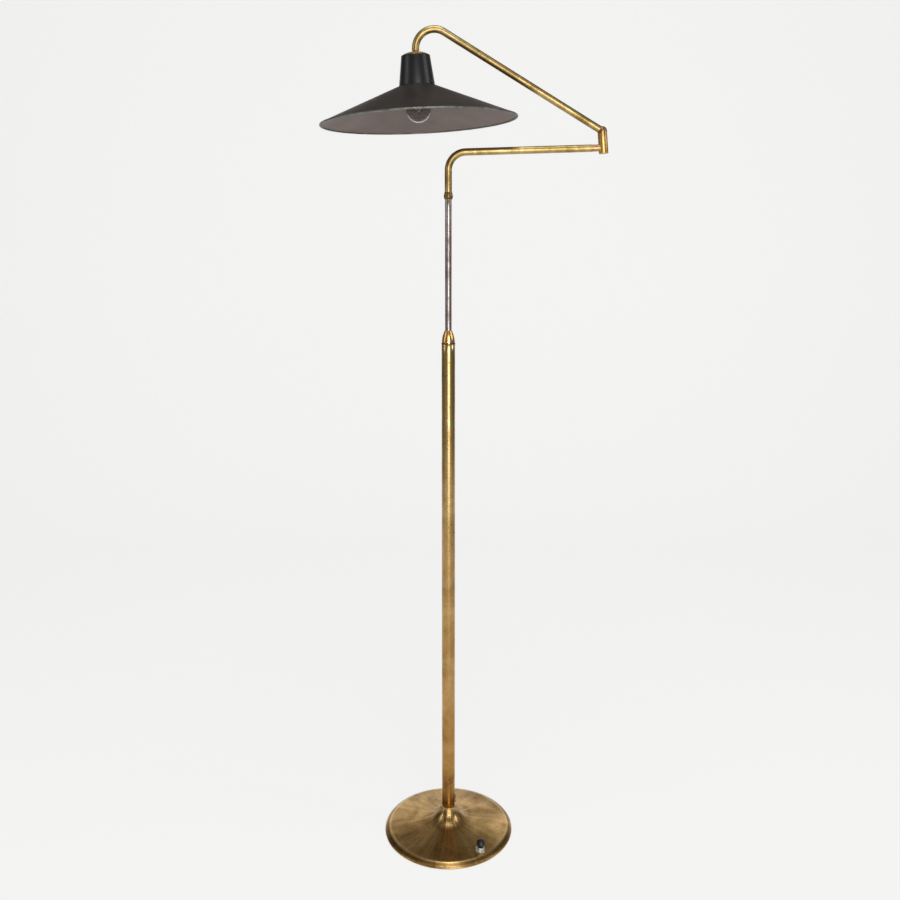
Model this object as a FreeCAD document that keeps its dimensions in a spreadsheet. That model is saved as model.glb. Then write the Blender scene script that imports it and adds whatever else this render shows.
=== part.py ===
"""Bridge floor lamp: a swing-arm reading lamp on a height-adjustable brass stem.

Millimetres, +Z up. The origin is the centre of the base's underside on the floor, +X points
from the stem to the elbow of the folded arm, and -Y is the side that the foot switch is on.
"""
import FreeCAD
import Part
import Sketcher

import math
import os
import re

from FreeCAD import Placement, Rotation, Vector

# --------------------------------------------------------------------------- driving sizes
# Name, value and what it measures. Lengths in millimetres, slopes and leans in degrees.
SIZES = [
    ("fit_clearance", 0.05, "radial play of a fixed piece in its bore and of a shaft in its bearing"),
    ("running_gap", 0.3, "air between faces that turn past each other"),
    ("floor_gap", 0.6, "height of the rolled rim above the floor"),
    # base
    ("base_radius", 125, "outside of the rolled rim"),
    ("rim_roll_radius", 2.5, "roll of the sheet at the rim"),
    ("rim_slope", 31, "bevel between crease and rim"),
    ("crease_radius", 115.4, "crease round the cone"),
    ("cone_slope", 9, "slope of the spun cone"),
    ("flare_radius", 45, "where the cone starts to sweep up to the stem"),
    ("throat_radius", 15.5, "top of the trumpet"),
    ("throat_height", 47.5, "top of the trumpet above the floor"),
    ("cover_wall", 1.2, "spun brass sheet"),
    ("weight_gap", 0.6, "air between cover and weight"),
    ("pad_thickness", 2, "rubber sheet under the weight"),
    ("pad_radius", 115.5, "rubber sheet under the weight"),
    ("nipple_radius", 5, "threaded tube through the base"),
    ("nipple_bore", 3.5, "wire way through the threaded tube"),
    ("nipple_length", 70, "threaded tube through the base"),
    ("nut_pocket_radius", 15, "pocket in the weight's underside"),
    ("nut_pocket_depth", 12, "pocket in the weight's underside"),
    ("base_nut_radius", 9.8, "corner radius of the hexagon nut"),
    ("base_nut_height", 6, "hexagon nut"),
    ("base_washer_radius", 13, "washer under the hexagon nut"),
    ("base_washer_thickness", 2, "washer under the hexagon nut"),
    ("foot_ring_thickness", 3, "ring that the stem stands on"),
    ("gland_distance", 60.7, "cord gland from the stem's axis"),
    ("gland_azimuth", 81.5, "cord gland round the base, from +X"),
    ("gland_radius", 5.8, "gland above the cover"),
    ("gland_height", 15, "gland above the cover"),
    ("gland_bore", 3.1, "cord's way through the gland"),
    ("gland_flange_radius", 7, "gland's foot on the cover"),
    ("gland_flange_thickness", 1.5, "gland's foot on the cover"),
    ("gland_shank_radius", 4.5, "threaded end under the cover"),
    ("gland_shank_length", 6, "threaded end below the cover's outside"),
    ("gland_nut_radius", 7.5, "nut under the cover, over its corners"),
    ("gland_nut_height", 3, "nut under the cover"),
    ("gland_pocket_radius", 9, "hole in the weight under the gland"),
    ("cord_channel_radius", 3.2, "channel for the cord under the weight"),
    # foot switch
    ("switch_distance", 103.6, "from the stem's axis, along the floor"),
    ("switch_azimuth", -54.6, "from +X, seen from above"),
    ("switch_bush_radius", 7, "nickel collar of the switch"),
    ("switch_bush_height", 9, "nickel collar above the cover"),
    ("switch_nut_radius", 9.8, "corner radius of the thin hexagon nut"),
    ("switch_nut_height", 2.4, "thin hexagon nut on the cover"),
    ("switch_body_radius", 10, "moulded housing under the cover"),
    ("switch_body_height", 6.5, "moulded housing under the cover"),
    ("switch_pocket_radius", 12, "pocket in the weight for the housing"),
    ("button_radius", 8, "mushroom head of the button"),
    ("button_head_height", 10.5, "mushroom head of the button"),
    ("button_stem_radius", 4.5, "stem of the button"),
    ("button_travel", 3.5, "stroke of the button"),
    ("button_stem_depth", 6, "stem inside the collar at rest"),
    # stem
    ("stem_radius", 12.5, "outer brass tube"),
    ("stem_wall", 1.5, "outer brass tube"),
    ("stem_length", 916.5, "outer brass tube"),
    ("plug_height", 30, "plug in the foot of the stem"),
    ("slider_radius", 6, "inner nickel tube"),
    ("slider_wall", 1, "inner nickel tube"),
    ("slider_length", 486, "inner nickel tube"),
    ("slider_show", 236, "part of the inner tube that shows above the cap nut"),
    ("bush_length", 40, "guide bush inside the stem"),
    ("bush_neck_radius", 9, "threaded neck of the guide bush"),
    ("bush_neck_height", 18, "threaded neck of the guide bush"),
    ("collet_radius", 8, "split friction ring"),
    ("collet_height", 10, "split friction ring"),
    ("collet_slit", 1.5, "slit of the friction ring"),
    ("cap_washer_thickness", 2, "dark ring under the cap nut"),
    ("cap_washer_radius", 12.9, "dark ring under the cap nut"),
    ("cap_height", 22.7, "bullet-shaped cap nut"),
    ("cap_radius", 12.3, "cap nut at its foot"),
    ("cap_top_radius", 7.1, "cap nut at its mouth"),
    ("cap_ogive_radius", 57, "swell of the cap nut's side"),
    ("stop_height", 20, "stop bush at the slider's lower end"),
    ("stop_play", 0.1, "radial play of the stop bush in the stem"),
    # arm
    ("arm_radius", 6.5, "both arm tubes"),
    ("arm_wall", 1.2, "both arm tubes"),
    ("pin_bore", 3, "wire way through both pivot pins"),
    ("swivel_pin_depth", 30, "length of the swivel pin in the slider"),
    ("swivel_pin_height", 34, "length of the swivel pin in the arm"),
    ("swivel_washer_thickness", 0.6, "thrust washer under the ferrule"),
    ("ferrule_height", 13.6, "ferrule at the arm's foot"),
    ("ferrule_radius", 8.4, "ferrule at its widest"),
    ("ferrule_seat", 5, "height of the tube's seat in the ferrule"),
    ("grub_radius", 1.5, "grub screw in the ferrule"),
    ("grub_length", 1.4, "grub screw in the ferrule"),
    ("lower_bend_radius", 32, "centre line of the lower arm's bend"),
    ("lower_arm_rise", 1.66, "slope of the lower arm"),
    ("lower_arm_lift", 83.1, "lower arm's centre line at the stem's axis, above the ferrule's foot"),
    ("elbow_reach", 277, "from the stem's axis to the elbow"),
    ("elbow_lean", 5, "lean of the elbow's pivot towards the stem"),
    ("sleeve_radius", 8.5, "elbow sleeve"),
    ("sleeve_top", 23.9, "sleeve above the lower arm's centre line"),
    ("sleeve_drop", 8, "sleeve below the lower arm's centre line"),
    ("elbow_cap_thickness", 2.5, "rounded cap under the sleeve"),
    ("stub_radius", 6.1, "neck between sleeve and lower arm"),
    ("stub_length", 20.5, "from the elbow's axis to the lower arm's end"),
    ("spigot_length", 12, "spigot inside the lower arm's end"),
    ("pivot_radius", 5, "elbow pivot pin"),
    ("pivot_nut_radius", 6.5, "round nut under the pivot"),
    ("pivot_nut_height", 3.7, "round nut under the pivot"),
    ("pivot_nut_pocket", 8, "ledge above the lower arm's centre line that the nut pulls on"),
    ("pivot_washer_thickness", 1.5, "bright washer under the knuckle"),
    ("knuckle_centre", 29.4, "centre of the knuckle's dome above the lower arm's centre line"),
    ("upper_socket", 5.5, "from the knuckle's centre to the upper arm's end"),
    ("upper_arm_drop", 31.04, "slope of the upper arm down to the elbow"),
    ("upper_arm_straight", 323.8, "straight run of the upper arm"),
    ("upper_bend_radius", 33, "centre line of the upper arm's hook"),
    ("upper_arm_end", 1, "straight end of the hook"),
    # shade head
    ("head_lean", 2.8, "lean of the hanging head"),
    ("ball_radius", 10, "ball of the shade joint"),
    ("ball_neck_radius", 4.5, "neck of the ball"),
    ("collar_gap", 9.5, "ball centre to the underside of the swivel collar"),
    ("collar_radius", 6.8, "swivel collar"),
    ("collar_height", 2.6, "swivel collar"),
    ("dome_radius", 26, "brass dome at its foot"),
    ("dome_mouth_radius", 8.4, "brass dome at its mouth"),
    ("dome_foot", 0.4, "foot of the dome above the ball's centre"),
    ("dome_height", 6.4, "brass dome"),
    ("dome_wall", 1.1, "brass dome"),
    ("dome_bulge", 40, "radius of the dome's side"),
    ("dome_ring_wall", 2.1, "threaded ring inside the dome"),
    ("seat_radius", 13, "threaded boss of the ball seat"),
    ("seat_flange_radius", 20, "flange of the ball seat"),
    ("seat_flange_thickness", 2.4, "flange of the ball seat"),
    ("seat_depth", 14, "ball seat below the ball's centre"),
    ("neck_top_radius", 25.5, "black neck at its top"),
    ("neck_radius", 32, "black neck at its foot"),
    ("neck_height", 51.4, "black neck"),
    ("neck_wall", 1.2, "black neck"),
    ("head_nipple_length", 13, "threaded tube between ball seat and lampholder"),
    ("holder_radius", 20, "lampholder body"),
    ("holder_wall", 2.6, "lampholder body"),
    ("holder_top", 17, "top of the lampholder below the ball's centre"),
    ("holder_cap_height", 10, "upper half of the lampholder"),
    ("holder_body_height", 33, "lower half of the lampholder"),
    ("holder_ring_radius", 22, "skirt ring of the lampholder"),
    ("holder_ring_height", 6, "skirt ring of the lampholder"),
    ("contact_block_height", 9.5, "ceramic block with the contacts"),
    ("thread_shell_radius", 14.1, "threaded sleeve that the lamp screws into"),
    ("thread_shell_wall", 0.6, "threaded sleeve that the lamp screws into"),
    ("shade_radius", 175, "cone at its rim, to the middle of the sheet"),
    ("shade_rim_drop", 112.5, "rim below the ball's centre"),
    ("shade_wall", 1.2, "shade sheet"),
    ("shade_bead_radius", 1.6, "rolled edge of the shade"),
    ("shade_collar_height", 8, "upright collar inside the neck"),
    ("shade_screw_radius", 1.5, "screw through the neck"),
    ("shade_screw_head", 2.6, "screw head"),
    ("shade_screw_azimuth", -33, "first of the opposite screws, from +X"),
    ("shade_screw_count", 2, "screws round the neck"),
    ("bulb_radius", 22.5, "glass bulb"),
    ("bulb_wall", 0.8, "glass bulb"),
    ("bulb_drop", 114, "lowest point of the bulb below the ball's centre"),
    ("lamp_cap_radius", 13.1, "screw cap of the bulb"),
    ("lamp_cap_top", 39, "contact of the bulb below the ball's centre"),
    ("lamp_cap_height", 24, "screw cap of the bulb"),
    ("filament_radius", 7, "arc of the filament"),
    ("filament_wire", 0.5, "filament and its leads"),
]

# --------------------------------------------------------------------------- worked-out sizes
# Each is written once from the driving sizes, and may use the ones above it.
WORKED_OUT = {
    "roll_centre_radius": "base_radius - rim_roll_radius",
    "roll_centre_height": "floor_gap + rim_roll_radius",
    "crease_height": ("roll_centre_height + rim_roll_radius / cos(rim_slope)"
                      " + (roll_centre_radius - crease_radius) * tan(rim_slope)"),
    "roll_depth": "rim_roll_radius - cover_wall",
    "roll_reach": "sqrt(rim_roll_radius ^ 2 - roll_depth ^ 2)",
    "flare_foot_height": "crease_height + (crease_radius - flare_radius) * tan(cone_slope)",
    "flare_run": "throat_radius - flare_radius",
    "flare_rise": "throat_height - flare_foot_height",
    "flare_sweep": ("(flare_run ^ 2 + flare_rise ^ 2)"
                    " / (2 * (flare_run * sin(cone_slope) + flare_rise * cos(cone_slope)))"),
    "flare_centre_radius": "flare_radius + flare_sweep * sin(cone_slope)",
    "flare_centre_height": "flare_foot_height + flare_sweep * cos(cone_slope)",
    "cover_underside": "throat_height - cover_wall",
    "weight_top_offset": "cover_wall + weight_gap",
    "stem_foot": "throat_height + foot_ring_thickness",
    "stem_top": "stem_foot + stem_length",
    "stem_bore": "stem_radius - stem_wall",
    "cap_foot": "stem_top + cap_washer_thickness + running_gap",
    "cap_top": "cap_foot + cap_height",
    "slider_top": "cap_top + slider_show",
    "slider_foot": "slider_top - slider_length",
    "slider_bore": "slider_radius - slider_wall",
    "ferrule_foot": "slider_top + swivel_washer_thickness + running_gap",
    "arm_bore": "arm_radius - arm_wall",
    "lower_arm_foot": "ferrule_foot + ferrule_seat",
    "lower_arm_height": "ferrule_foot + lower_arm_lift",
    "elbow_height": "lower_arm_height + elbow_reach * tan(lower_arm_rise)",
    "lower_arm_upright": ("lower_arm_height - lower_arm_foot"
                          " + lower_bend_radius * (tan(lower_arm_rise) - 1 / cos(lower_arm_rise))"),
    "lower_arm_straight": ("(elbow_reach - lower_bend_radius * (1 - sin(lower_arm_rise)))"
                           " / cos(lower_arm_rise) - stub_length"),
    "washer_foot": "sleeve_top + running_gap",
    "knuckle_foot": "washer_foot + pivot_washer_thickness",
    "knuckle_x": "elbow_reach - knuckle_centre * sin(elbow_lean)",
    "knuckle_z": "elbow_height + knuckle_centre * cos(elbow_lean)",
    "upper_run": "upper_arm_straight + upper_socket",
    "hook_x": ("knuckle_x - upper_run * cos(upper_arm_drop)"
               " - upper_bend_radius * (1 + sin(upper_arm_drop))"),
    "hook_z": ("knuckle_z + upper_run * sin(upper_arm_drop)"
               " - upper_bend_radius * cos(upper_arm_drop) - upper_arm_end"),
    "ball_height": "hook_z - collar_height - collar_gap",
    "neck_top": "dome_foot",
    "neck_plate_foot": "neck_top - neck_wall",
    "neck_foot_drop": "neck_height - neck_top",
    "neck_taper": "(neck_radius - neck_top_radius) / neck_height",
    "holder_body_top": "holder_top + holder_cap_height",
    "holder_foot": "holder_body_top + holder_body_height",
    "cone_drop": "shade_rim_drop - neck_foot_drop - running_gap",
    "shade_slope": "atan(cone_drop / (shade_radius - neck_radius))",
    "shade_upright_wall": "shade_wall / cos(shade_slope)",
    "shade_collar_radius": "neck_radius - neck_wall - fit_clearance - shade_collar_height * neck_taper",
    "bulb_centre_drop": "bulb_drop - bulb_radius",
    "lamp_cap_foot": "lamp_cap_top + lamp_cap_height",
    "glass_neck_radius": "lamp_cap_radius - fit_clearance - thread_shell_wall",
}

KNOWN = {name for name, _, _ in SIZES}


def cells(formula):
    """The formula with each size's name written as its cell in the sheet."""

    def spelled(match):
        word = match[0]
        if word in WORKED_OUT:
            return f"({cells(WORKED_OUT[word])})"
        return "Sizes." + word if word in KNOWN else word

    return re.sub(r"(?<![.a-zA-Z_])[a-z_]+", spelled, str(formula))


doc = FreeCAD.newDocument("BridgeFloorLamp")
sheet = doc.addObject("Spreadsheet::Sheet", "Sizes")
for row, (name, size, note) in enumerate(SIZES, start=1):
    sheet.set(f"A{row}", str(size))
    sheet.setAlias(f"A{row}", name)
    sheet.set(f"B{row}", note)
doc.recompute()

PROBE = doc.addObject("App::FeaturePython", "Formulas")


def value(formula):
    """The number that a formula has now."""
    return float(PROBE.evalExpression(cells(formula)))


# --------------------------------------------------------------------------- frames
# A frame is an origin and an upright axis, which leans by an angle about a level line.
class Frame:
    """A place to build on: an origin, and an axis that leans about a level line."""

    def __init__(self, origin=("0", "0", "0"), up=("0", "0", "1"), turn_axis=(0, 1, 0), lean="0"):
        self.origin = origin
        self.up = up
        self.turn_axis = Vector(*turn_axis)
        self.lean = lean

    def seat(self, piece, height="0"):
        """Stand the piece on the frame's axis, this far from the frame's origin."""
        places = [f"({start}) + ({height}) * ({step})" for start, step in zip(self.origin, self.up)]
        piece.Placement = Placement(Vector(*[value(place) for place in places]),
                                    Rotation(self.turn_axis, value(self.lean)))
        for side, place in zip("xyz", places):
            piece.setExpression(f".Placement.Base.{side}", cells(place))
        if self.lean != "0":
            piece.setExpression(".Placement.Rotation.Angle", cells(f"{self.lean} * 1 deg"))
        return piece


FLOOR = Frame()
ELBOW = Frame(("elbow_reach", "0", "elbow_height"),
              ("-sin(elbow_lean)", "0", "cos(elbow_lean)"), (0, -1, 0), "elbow_lean")
HEAD = Frame(("hook_x", "0", "ball_height"),
             ("-sin(head_lean)", "0", "cos(head_lean)"), (0, -1, 0), "head_lean")
BALL = Frame(("hook_x", "0", "ball_height"))


def on_the_cone(distance, azimuth):
    """A frame that stands square on the base's cone, this far from the stem and this far round."""
    side = math.radians(value(azimuth))
    return Frame((f"{distance} * cos({azimuth})", f"{distance} * sin({azimuth})",
                  f"crease_height + (crease_radius - {distance}) * tan(cone_slope)"),
                 (f"sin(cone_slope) * cos({azimuth})", f"sin(cone_slope) * sin({azimuth})",
                  "cos(cone_slope)"),
                 (-math.sin(side), math.cos(side), 0), "cone_slope")


SWITCH = on_the_cone("switch_distance", "switch_azimuth")
GLAND = on_the_cone("gland_distance", "gland_azimuth")
NODES = []


def node(piece, label):
    """Name the piece as one of the lamp's sub-parts."""
    piece.Label = label
    NODES.append(piece)
    return piece


# --------------------------------------------------------------------------- ways of making
def sketch_on(body, role, name):
    """An empty sketch on one of the body's own origin planes."""
    sketch = body.newObject("Sketcher::SketchObject", name)
    plane = [item for item in body.Origin.OriginFeatures if item.Role == role][0]
    sketch.AttachmentSupport = (plane, [""])
    sketch.MapMode = "FlatFace"
    return sketch


def angle_about(centre, point):
    """The direction from the centre to the point, as an angle from +X."""
    return math.atan2(point.y - centre.y, point.x - centre.x)


def arc_between(start, end, radius, side):
    """An arc no longer than a half turn, which bulges to the left (+1) or right (-1) of its way."""
    chord = end - start
    left = Vector(-chord.y, chord.x, 0).normalize()
    depth = math.sqrt(max(radius ** 2 - (chord.Length / 2) ** 2, 0))
    centre = (start + end) * 0.5 - left * (depth * side)
    ends = (start, end) if side < 0 else (end, start)
    circle = Part.Circle(centre, Vector(0, 0, 1), radius)
    return Part.ArcOfCircle(circle, *[angle_about(centre, point) for point in ends])


def draw(sketch, corners, closed=True):
    """Lines and arcs through the corners, each held by the formulas of its place.

    A corner is (across, up) or (across, up, radius, side): then the edge that arrives there is an
    arc of that radius, which bulges to the left (+1) or right (-1) of the way it is drawn.
    """
    points = [Vector(value(corner[0]), value(corner[1]), 0) for corner in corners]
    count = len(corners) if closed else len(corners) - 1
    backwards = []
    for index in range(count):
        following = (index + 1) % len(corners)
        if len(corners[following]) == 2:
            sketch.addGeometry(Part.LineSegment(points[index], points[following]), False)
            backwards.append(False)
            continue
        radius, side = corners[following][2:]
        sketch.addGeometry(arc_between(points[index], points[following], value(radius), side), False)
        backwards.append(side > 0)
        number = sketch.addConstraint(Sketcher.Constraint("Radius", index, value(radius)))
        sketch.setExpression(f"Constraints[{number}]", cells(radius))
    for index in range(count if closed else count - 1):
        following = (index + 1) % count
        sketch.addConstraint(Sketcher.Constraint(
            "Coincident", index, 1 if backwards[index] else 2, following, 2 if backwards[following] else 1))
    for index, corner in enumerate(corners):
        edge = min(index, count - 1)
        at_start = (edge == index) != backwards[edge]
        for kind, formula in (("DistanceX", corner[0]), ("DistanceY", corner[1])):
            number = sketch.addConstraint(
                Sketcher.Constraint(kind, -1, 1, edge, 1 if at_start else 2, value(formula)))
            sketch.setExpression(f"Constraints[{number}]", cells(formula))


def turned(name, outline):
    """A body turned about its own upright axis from an outline of (radius, height) corners."""
    body = doc.addObject("PartDesign::Body", name)
    sketch = sketch_on(body, "XZ_Plane", name + "_outline")
    draw(sketch, outline)
    spin = body.newObject("PartDesign::Revolution", name + "_spin")
    spin.Profile = sketch
    spin.ReferenceAxis = (sketch, ["V_Axis"])
    spin.Angle = 360
    return body


def ring(name, outer, inner, height):
    """A plain ring or short tube, standing on its own origin."""
    return turned(name, [(inner, "0"), (outer, "0"), (outer, height), (inner, height)])


def rod(name, radius, height):
    """A plain cylinder, standing on its own origin."""
    piece = doc.addObject("Part::Cylinder", name)
    piece.setExpression("Radius", cells(radius))
    piece.setExpression("Height", cells(height))
    return piece


def point_along(piece, start, direction):
    """Put a cylinder's foot at a place and its axis along a direction given as an X, Y, Z vector."""
    piece.Placement = Placement(Vector(*[value(place) for place in start]),
                                Rotation(Vector(0, 0, 1), Vector(*direction)))
    for side, place in zip("xyz", start):
        piece.setExpression(f".Placement.Base.{side}", cells(place))
    return piece


def cut(name, base, *tools):
    """The base with the tools' shapes cut out of it."""
    result = base
    for index, tool in enumerate(tools):
        step = doc.addObject("Part::Cut", name if index == len(tools) - 1 else f"{name}_cut_{index}")
        step.Base = result
        step.Tool = tool
        result = step
    return result


def fuse(name, *pieces):
    """The pieces joined to one solid."""
    joined = doc.addObject("Part::MultiFuse", name)
    joined.Shapes = list(pieces)
    return joined


def bent_tube(name, upright, bend, slope, run):
    """An arm tube that rises from its own origin, bends over to +X and runs on at a slope."""
    body = doc.addObject("PartDesign::Body", name)
    section = sketch_on(body, "XY_Plane", name + "_section")
    for index, radius in enumerate(("arm_radius", "arm_bore")):
        section.addGeometry(Part.Circle(Vector(0, 0, 0), Vector(0, 0, 1), value(radius)), False)
        section.addConstraint(Sketcher.Constraint("Coincident", index, 3, -1, 1))
        number = section.addConstraint(Sketcher.Constraint("Radius", index, value(radius)))
        section.setExpression(f"Constraints[{number}]", cells(radius))
    path = sketch_on(body, "XZ_Plane", name + "_path")
    bend_end = (f"{bend} * (1 - sin({slope}))", f"{upright} + {bend} * cos({slope})")
    tip = (f"{bend_end[0]} + ({run}) * cos({slope})", f"{bend_end[1]} + ({run}) * sin({slope})")
    draw(path, [("0", "0"), ("0", upright), (*bend_end, bend, 1), tip], closed=False)
    sweep = body.newObject("PartDesign::AdditivePipe", name + "_sweep")
    sweep.Profile = section
    sweep.Spine = path
    return body


def cone_shell_outline(offset, top, edge, bottom):
    """Outline of the base's solid form, drawn in from the cover's outside by an offset."""
    sweep = f"(flare_sweep + {offset})"
    shift = f"({offset} * (1 / cos(rim_slope) - 1 / cos(cone_slope)) / (tan(rim_slope) - tan(cone_slope)))"
    bevel_drop = f"({edge} - crease_radius) * tan(rim_slope) + {offset} / cos(rim_slope)"
    return [("0", bottom),
            (edge, bottom),
            (edge, f"crease_height - ({bevel_drop})"),
            (f"crease_radius - {shift}",
             f"crease_height + {shift} * tan(cone_slope) - {offset} / cos(cone_slope)"),
            (f"flare_centre_radius - {sweep} * sin(cone_slope)",
             f"flare_centre_height - {sweep} * cos(cone_slope)"),
            (f"flare_centre_radius - sqrt({sweep} ^ 2 - (flare_centre_height - {top}) ^ 2)", top, sweep, 1),
            ("0", top)]


# --------------------------------------------------------------------------- base
outside = cone_shell_outline("0", "throat_height", "roll_centre_radius", "roll_centre_height")
inside = cone_shell_outline("cover_wall", "cover_underside", "roll_centre_radius", "0")
cover_skin = FLOOR.seat(turned("cover_skin", [
    inside[6],
    inside[5][:2],
    (*inside[4], "flare_sweep + cover_wall", -1),
    inside[3],
    ("roll_centre_radius + roll_depth * sin(rim_slope) - roll_reach * cos(rim_slope)",
     "roll_centre_height + roll_depth * cos(rim_slope) + roll_reach * sin(rim_slope)"),
    ("roll_centre_radius", "roll_centre_height - rim_roll_radius", "rim_roll_radius", -1),
    ("roll_centre_radius + rim_roll_radius", "roll_centre_height", "rim_roll_radius", -1),
    ("roll_centre_radius + rim_roll_radius * sin(rim_slope)",
     "roll_centre_height + rim_roll_radius * cos(rim_slope)", "rim_roll_radius", -1),
    outside[3],
    outside[4],
    outside[5],
    outside[6]]))
cover_hole = FLOOR.seat(rod("cover_hole", "nipple_radius + running_gap", "stem_foot"))
switch_hole = SWITCH.seat(rod("switch_hole", "switch_bush_radius + fit_clearance", "4 * cover_wall"),
                          "-2 * cover_wall")
gland_hole = GLAND.seat(rod("gland_hole", "gland_shank_radius + fit_clearance", "4 * cover_wall"),
                        "-2 * cover_wall")
node(cut("base_cover_form", cover_skin, cover_hole, switch_hole, gland_hole), "base_cover")

weight_edge = "roll_centre_radius - rim_roll_radius - 2 * weight_gap"
weight_form = FLOOR.seat(turned("weight_form", cone_shell_outline(
    "weight_top_offset", "cover_underside", weight_edge, "pad_thickness")))
weight_bore = FLOOR.seat(rod("weight_bore", "nipple_radius + running_gap", "throat_height"))
nut_pocket = FLOOR.seat(rod("nut_pocket", "nut_pocket_radius", "pad_thickness + nut_pocket_depth"))
switch_pocket = SWITCH.seat(rod("switch_pocket", "switch_pocket_radius", "3 * switch_body_height"),
                            "-2 * switch_body_height")
gland_pocket = GLAND.seat(rod("gland_pocket", "gland_pocket_radius", "2 * throat_height"),
                          "-throat_height")
cord_channel = point_along(rod("cord_channel", "cord_channel_radius", "gland_distance"),
                           ("0", "0", "pad_thickness + cord_channel_radius / 2"), (0, 1, 0))
node(cut("base_weight_form", weight_form, weight_bore, nut_pocket, switch_pocket, gland_pocket,
         cord_channel), "base_weight")
node(FLOOR.seat(ring("pad", "pad_radius", "0", "pad_thickness")), "base_pad")

ring_edge = "0.8"
node(FLOOR.seat(turned("foot_ring_form", [
    ("nipple_radius + running_gap", "0"), ("throat_radius", "0"),
    ("throat_radius", f"foot_ring_thickness - {ring_edge}"),
    (f"throat_radius - {ring_edge}", "foot_ring_thickness", ring_edge, -1),
    ("nipple_radius + running_gap", "foot_ring_thickness")]), "throat_height"), "foot_ring")
node(FLOOR.seat(ring("plug", "stem_bore - fit_clearance", "nipple_radius + fit_clearance", "plug_height"),
                "stem_foot"), "stem_plug")
nipple_foot = "stem_foot + 0.8 * plug_height - nipple_length"
node(FLOOR.seat(ring("base_nipple_form", "nipple_radius", "nipple_bore", "nipple_length"), nipple_foot),
     "base_nipple")
washer_foot_height = "pad_thickness + nut_pocket_depth - base_washer_thickness"
node(FLOOR.seat(ring("base_washer_form", "base_washer_radius", "nipple_radius + fit_clearance",
                     "base_washer_thickness"), washer_foot_height), "base_washer")


def hexagon_nut(name, frame, corner, bore, height, foot):
    """A hexagon nut on a frame's axis."""
    blank = doc.addObject("Part::Prism", name + "_blank")
    blank.Polygon = 6
    blank.setExpression("Circumradius", cells(corner))
    blank.setExpression("Height", cells(height))
    frame.seat(blank, foot)
    hole = frame.seat(rod(name + "_hole", bore, height), foot)
    return cut(name, blank, hole)


node(hexagon_nut("base_nut_form", FLOOR, "base_nut_radius", "nipple_radius + fit_clearance",
                 "base_nut_height", f"{washer_foot_height} - base_nut_height"), "base_nut")

gland_shoulder = "(gland_shank_length + gland_height - gland_radius + gland_bore / 2)"
gland_base = "(gland_shank_length + gland_flange_thickness)"
node(GLAND.seat(turned("gland", [
    ("gland_bore", "0"), ("gland_shank_radius", "0"), ("gland_shank_radius", "gland_shank_length"),
    ("gland_flange_radius", "gland_shank_length"), ("gland_flange_radius", gland_base),
    ("0.85 * gland_radius", gland_base),
    ("gland_radius", f"0.5 * {gland_base} + 0.5 * {gland_shoulder}"),
    ("gland_radius", gland_shoulder),
    ("gland_bore", "gland_shank_length + gland_height", "1.2 * gland_radius", -1)]),
    "-gland_shank_length"), "cord_gland")
node(hexagon_nut("gland_nut_form", GLAND, "gland_nut_radius", "gland_shank_radius + fit_clearance",
                 "gland_nut_height", "-cover_wall - gland_nut_height - 2 * fit_clearance"), "gland_nut")

# --------------------------------------------------------------------------- foot switch
plunger_bore = "button_stem_radius + fit_clearance"
bush_below = "cover_wall + running_gap"
node(SWITCH.seat(ring("switch_bush_form", "switch_bush_radius", plunger_bore,
                      f"switch_bush_height + {bush_below}"), f"-({bush_below})"), "switch_bush")
node(hexagon_nut("switch_nut_form", SWITCH, "switch_nut_radius", "switch_bush_radius + fit_clearance",
                 "switch_nut_height", "0"), "switch_nut")
node(SWITCH.seat(ring("switch_body_form", "switch_body_radius", "0", "switch_body_height"),
                 f"-({bush_below}) - switch_body_height"), "switch_body")
button_gap = "button_travel + 2 * running_gap"
stem_run = f"button_stem_depth + {button_gap}"
crown = "button_head_height / 2"
node(SWITCH.seat(turned("button", [
    ("0", "0"), ("button_stem_radius", "0"), ("button_stem_radius", stem_run),
    ("button_radius - 1", stem_run), ("button_radius", f"{stem_run} + 1", "1", -1),
    ("button_radius", f"{stem_run} + {crown}"),
    ("0", f"{stem_run} + button_head_height",
     f"(button_radius ^ 2 + ({crown}) ^ 2) / (2 * ({crown}))", -1)]),
    "switch_bush_height - button_stem_depth"), "switch_button")

# --------------------------------------------------------------------------- stem
node(FLOOR.seat(ring("stem", "stem_radius", "stem_bore", "stem_length"), "stem_foot"), "outer_tube")
slider_hole = "slider_radius + fit_clearance"
collet_seat = "bush_length + bush_neck_height - collet_height"
node(FLOOR.seat(turned("guide_bush_form", [
    (slider_hole, "0"), ("stem_bore - fit_clearance", "0"), ("stem_bore - fit_clearance", "bush_length"),
    ("bush_neck_radius", "bush_length"), ("bush_neck_radius", "bush_length + bush_neck_height"),
    ("collet_radius + fit_clearance", "bush_length + bush_neck_height"),
    ("collet_radius + fit_clearance", collet_seat), (slider_hole, collet_seat)]),
    "stem_top - bush_length"), "guide_bush")
collet_foot = "stem_top + bush_neck_height - collet_height"
collet_ring = FLOOR.seat(ring("collet_ring", "collet_radius", slider_hole, "collet_height"), collet_foot)
collet_slit = doc.addObject("Part::Box", "collet_slit")
collet_slit.setExpression("Length", cells("2 * collet_radius"))
collet_slit.setExpression("Width", cells("collet_slit"))
collet_slit.setExpression("Height", cells("collet_height"))
FLOOR.seat(collet_slit, collet_foot)
node(cut("collet", collet_ring, collet_slit), "friction_collet")
node(FLOOR.seat(ring("cap_washer_form", "cap_washer_radius", "bush_neck_radius + fit_clearance",
                     "cap_washer_thickness"), "stem_top"), "cap_washer")
cap_recess = "bush_neck_height - cap_washer_thickness"
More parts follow.
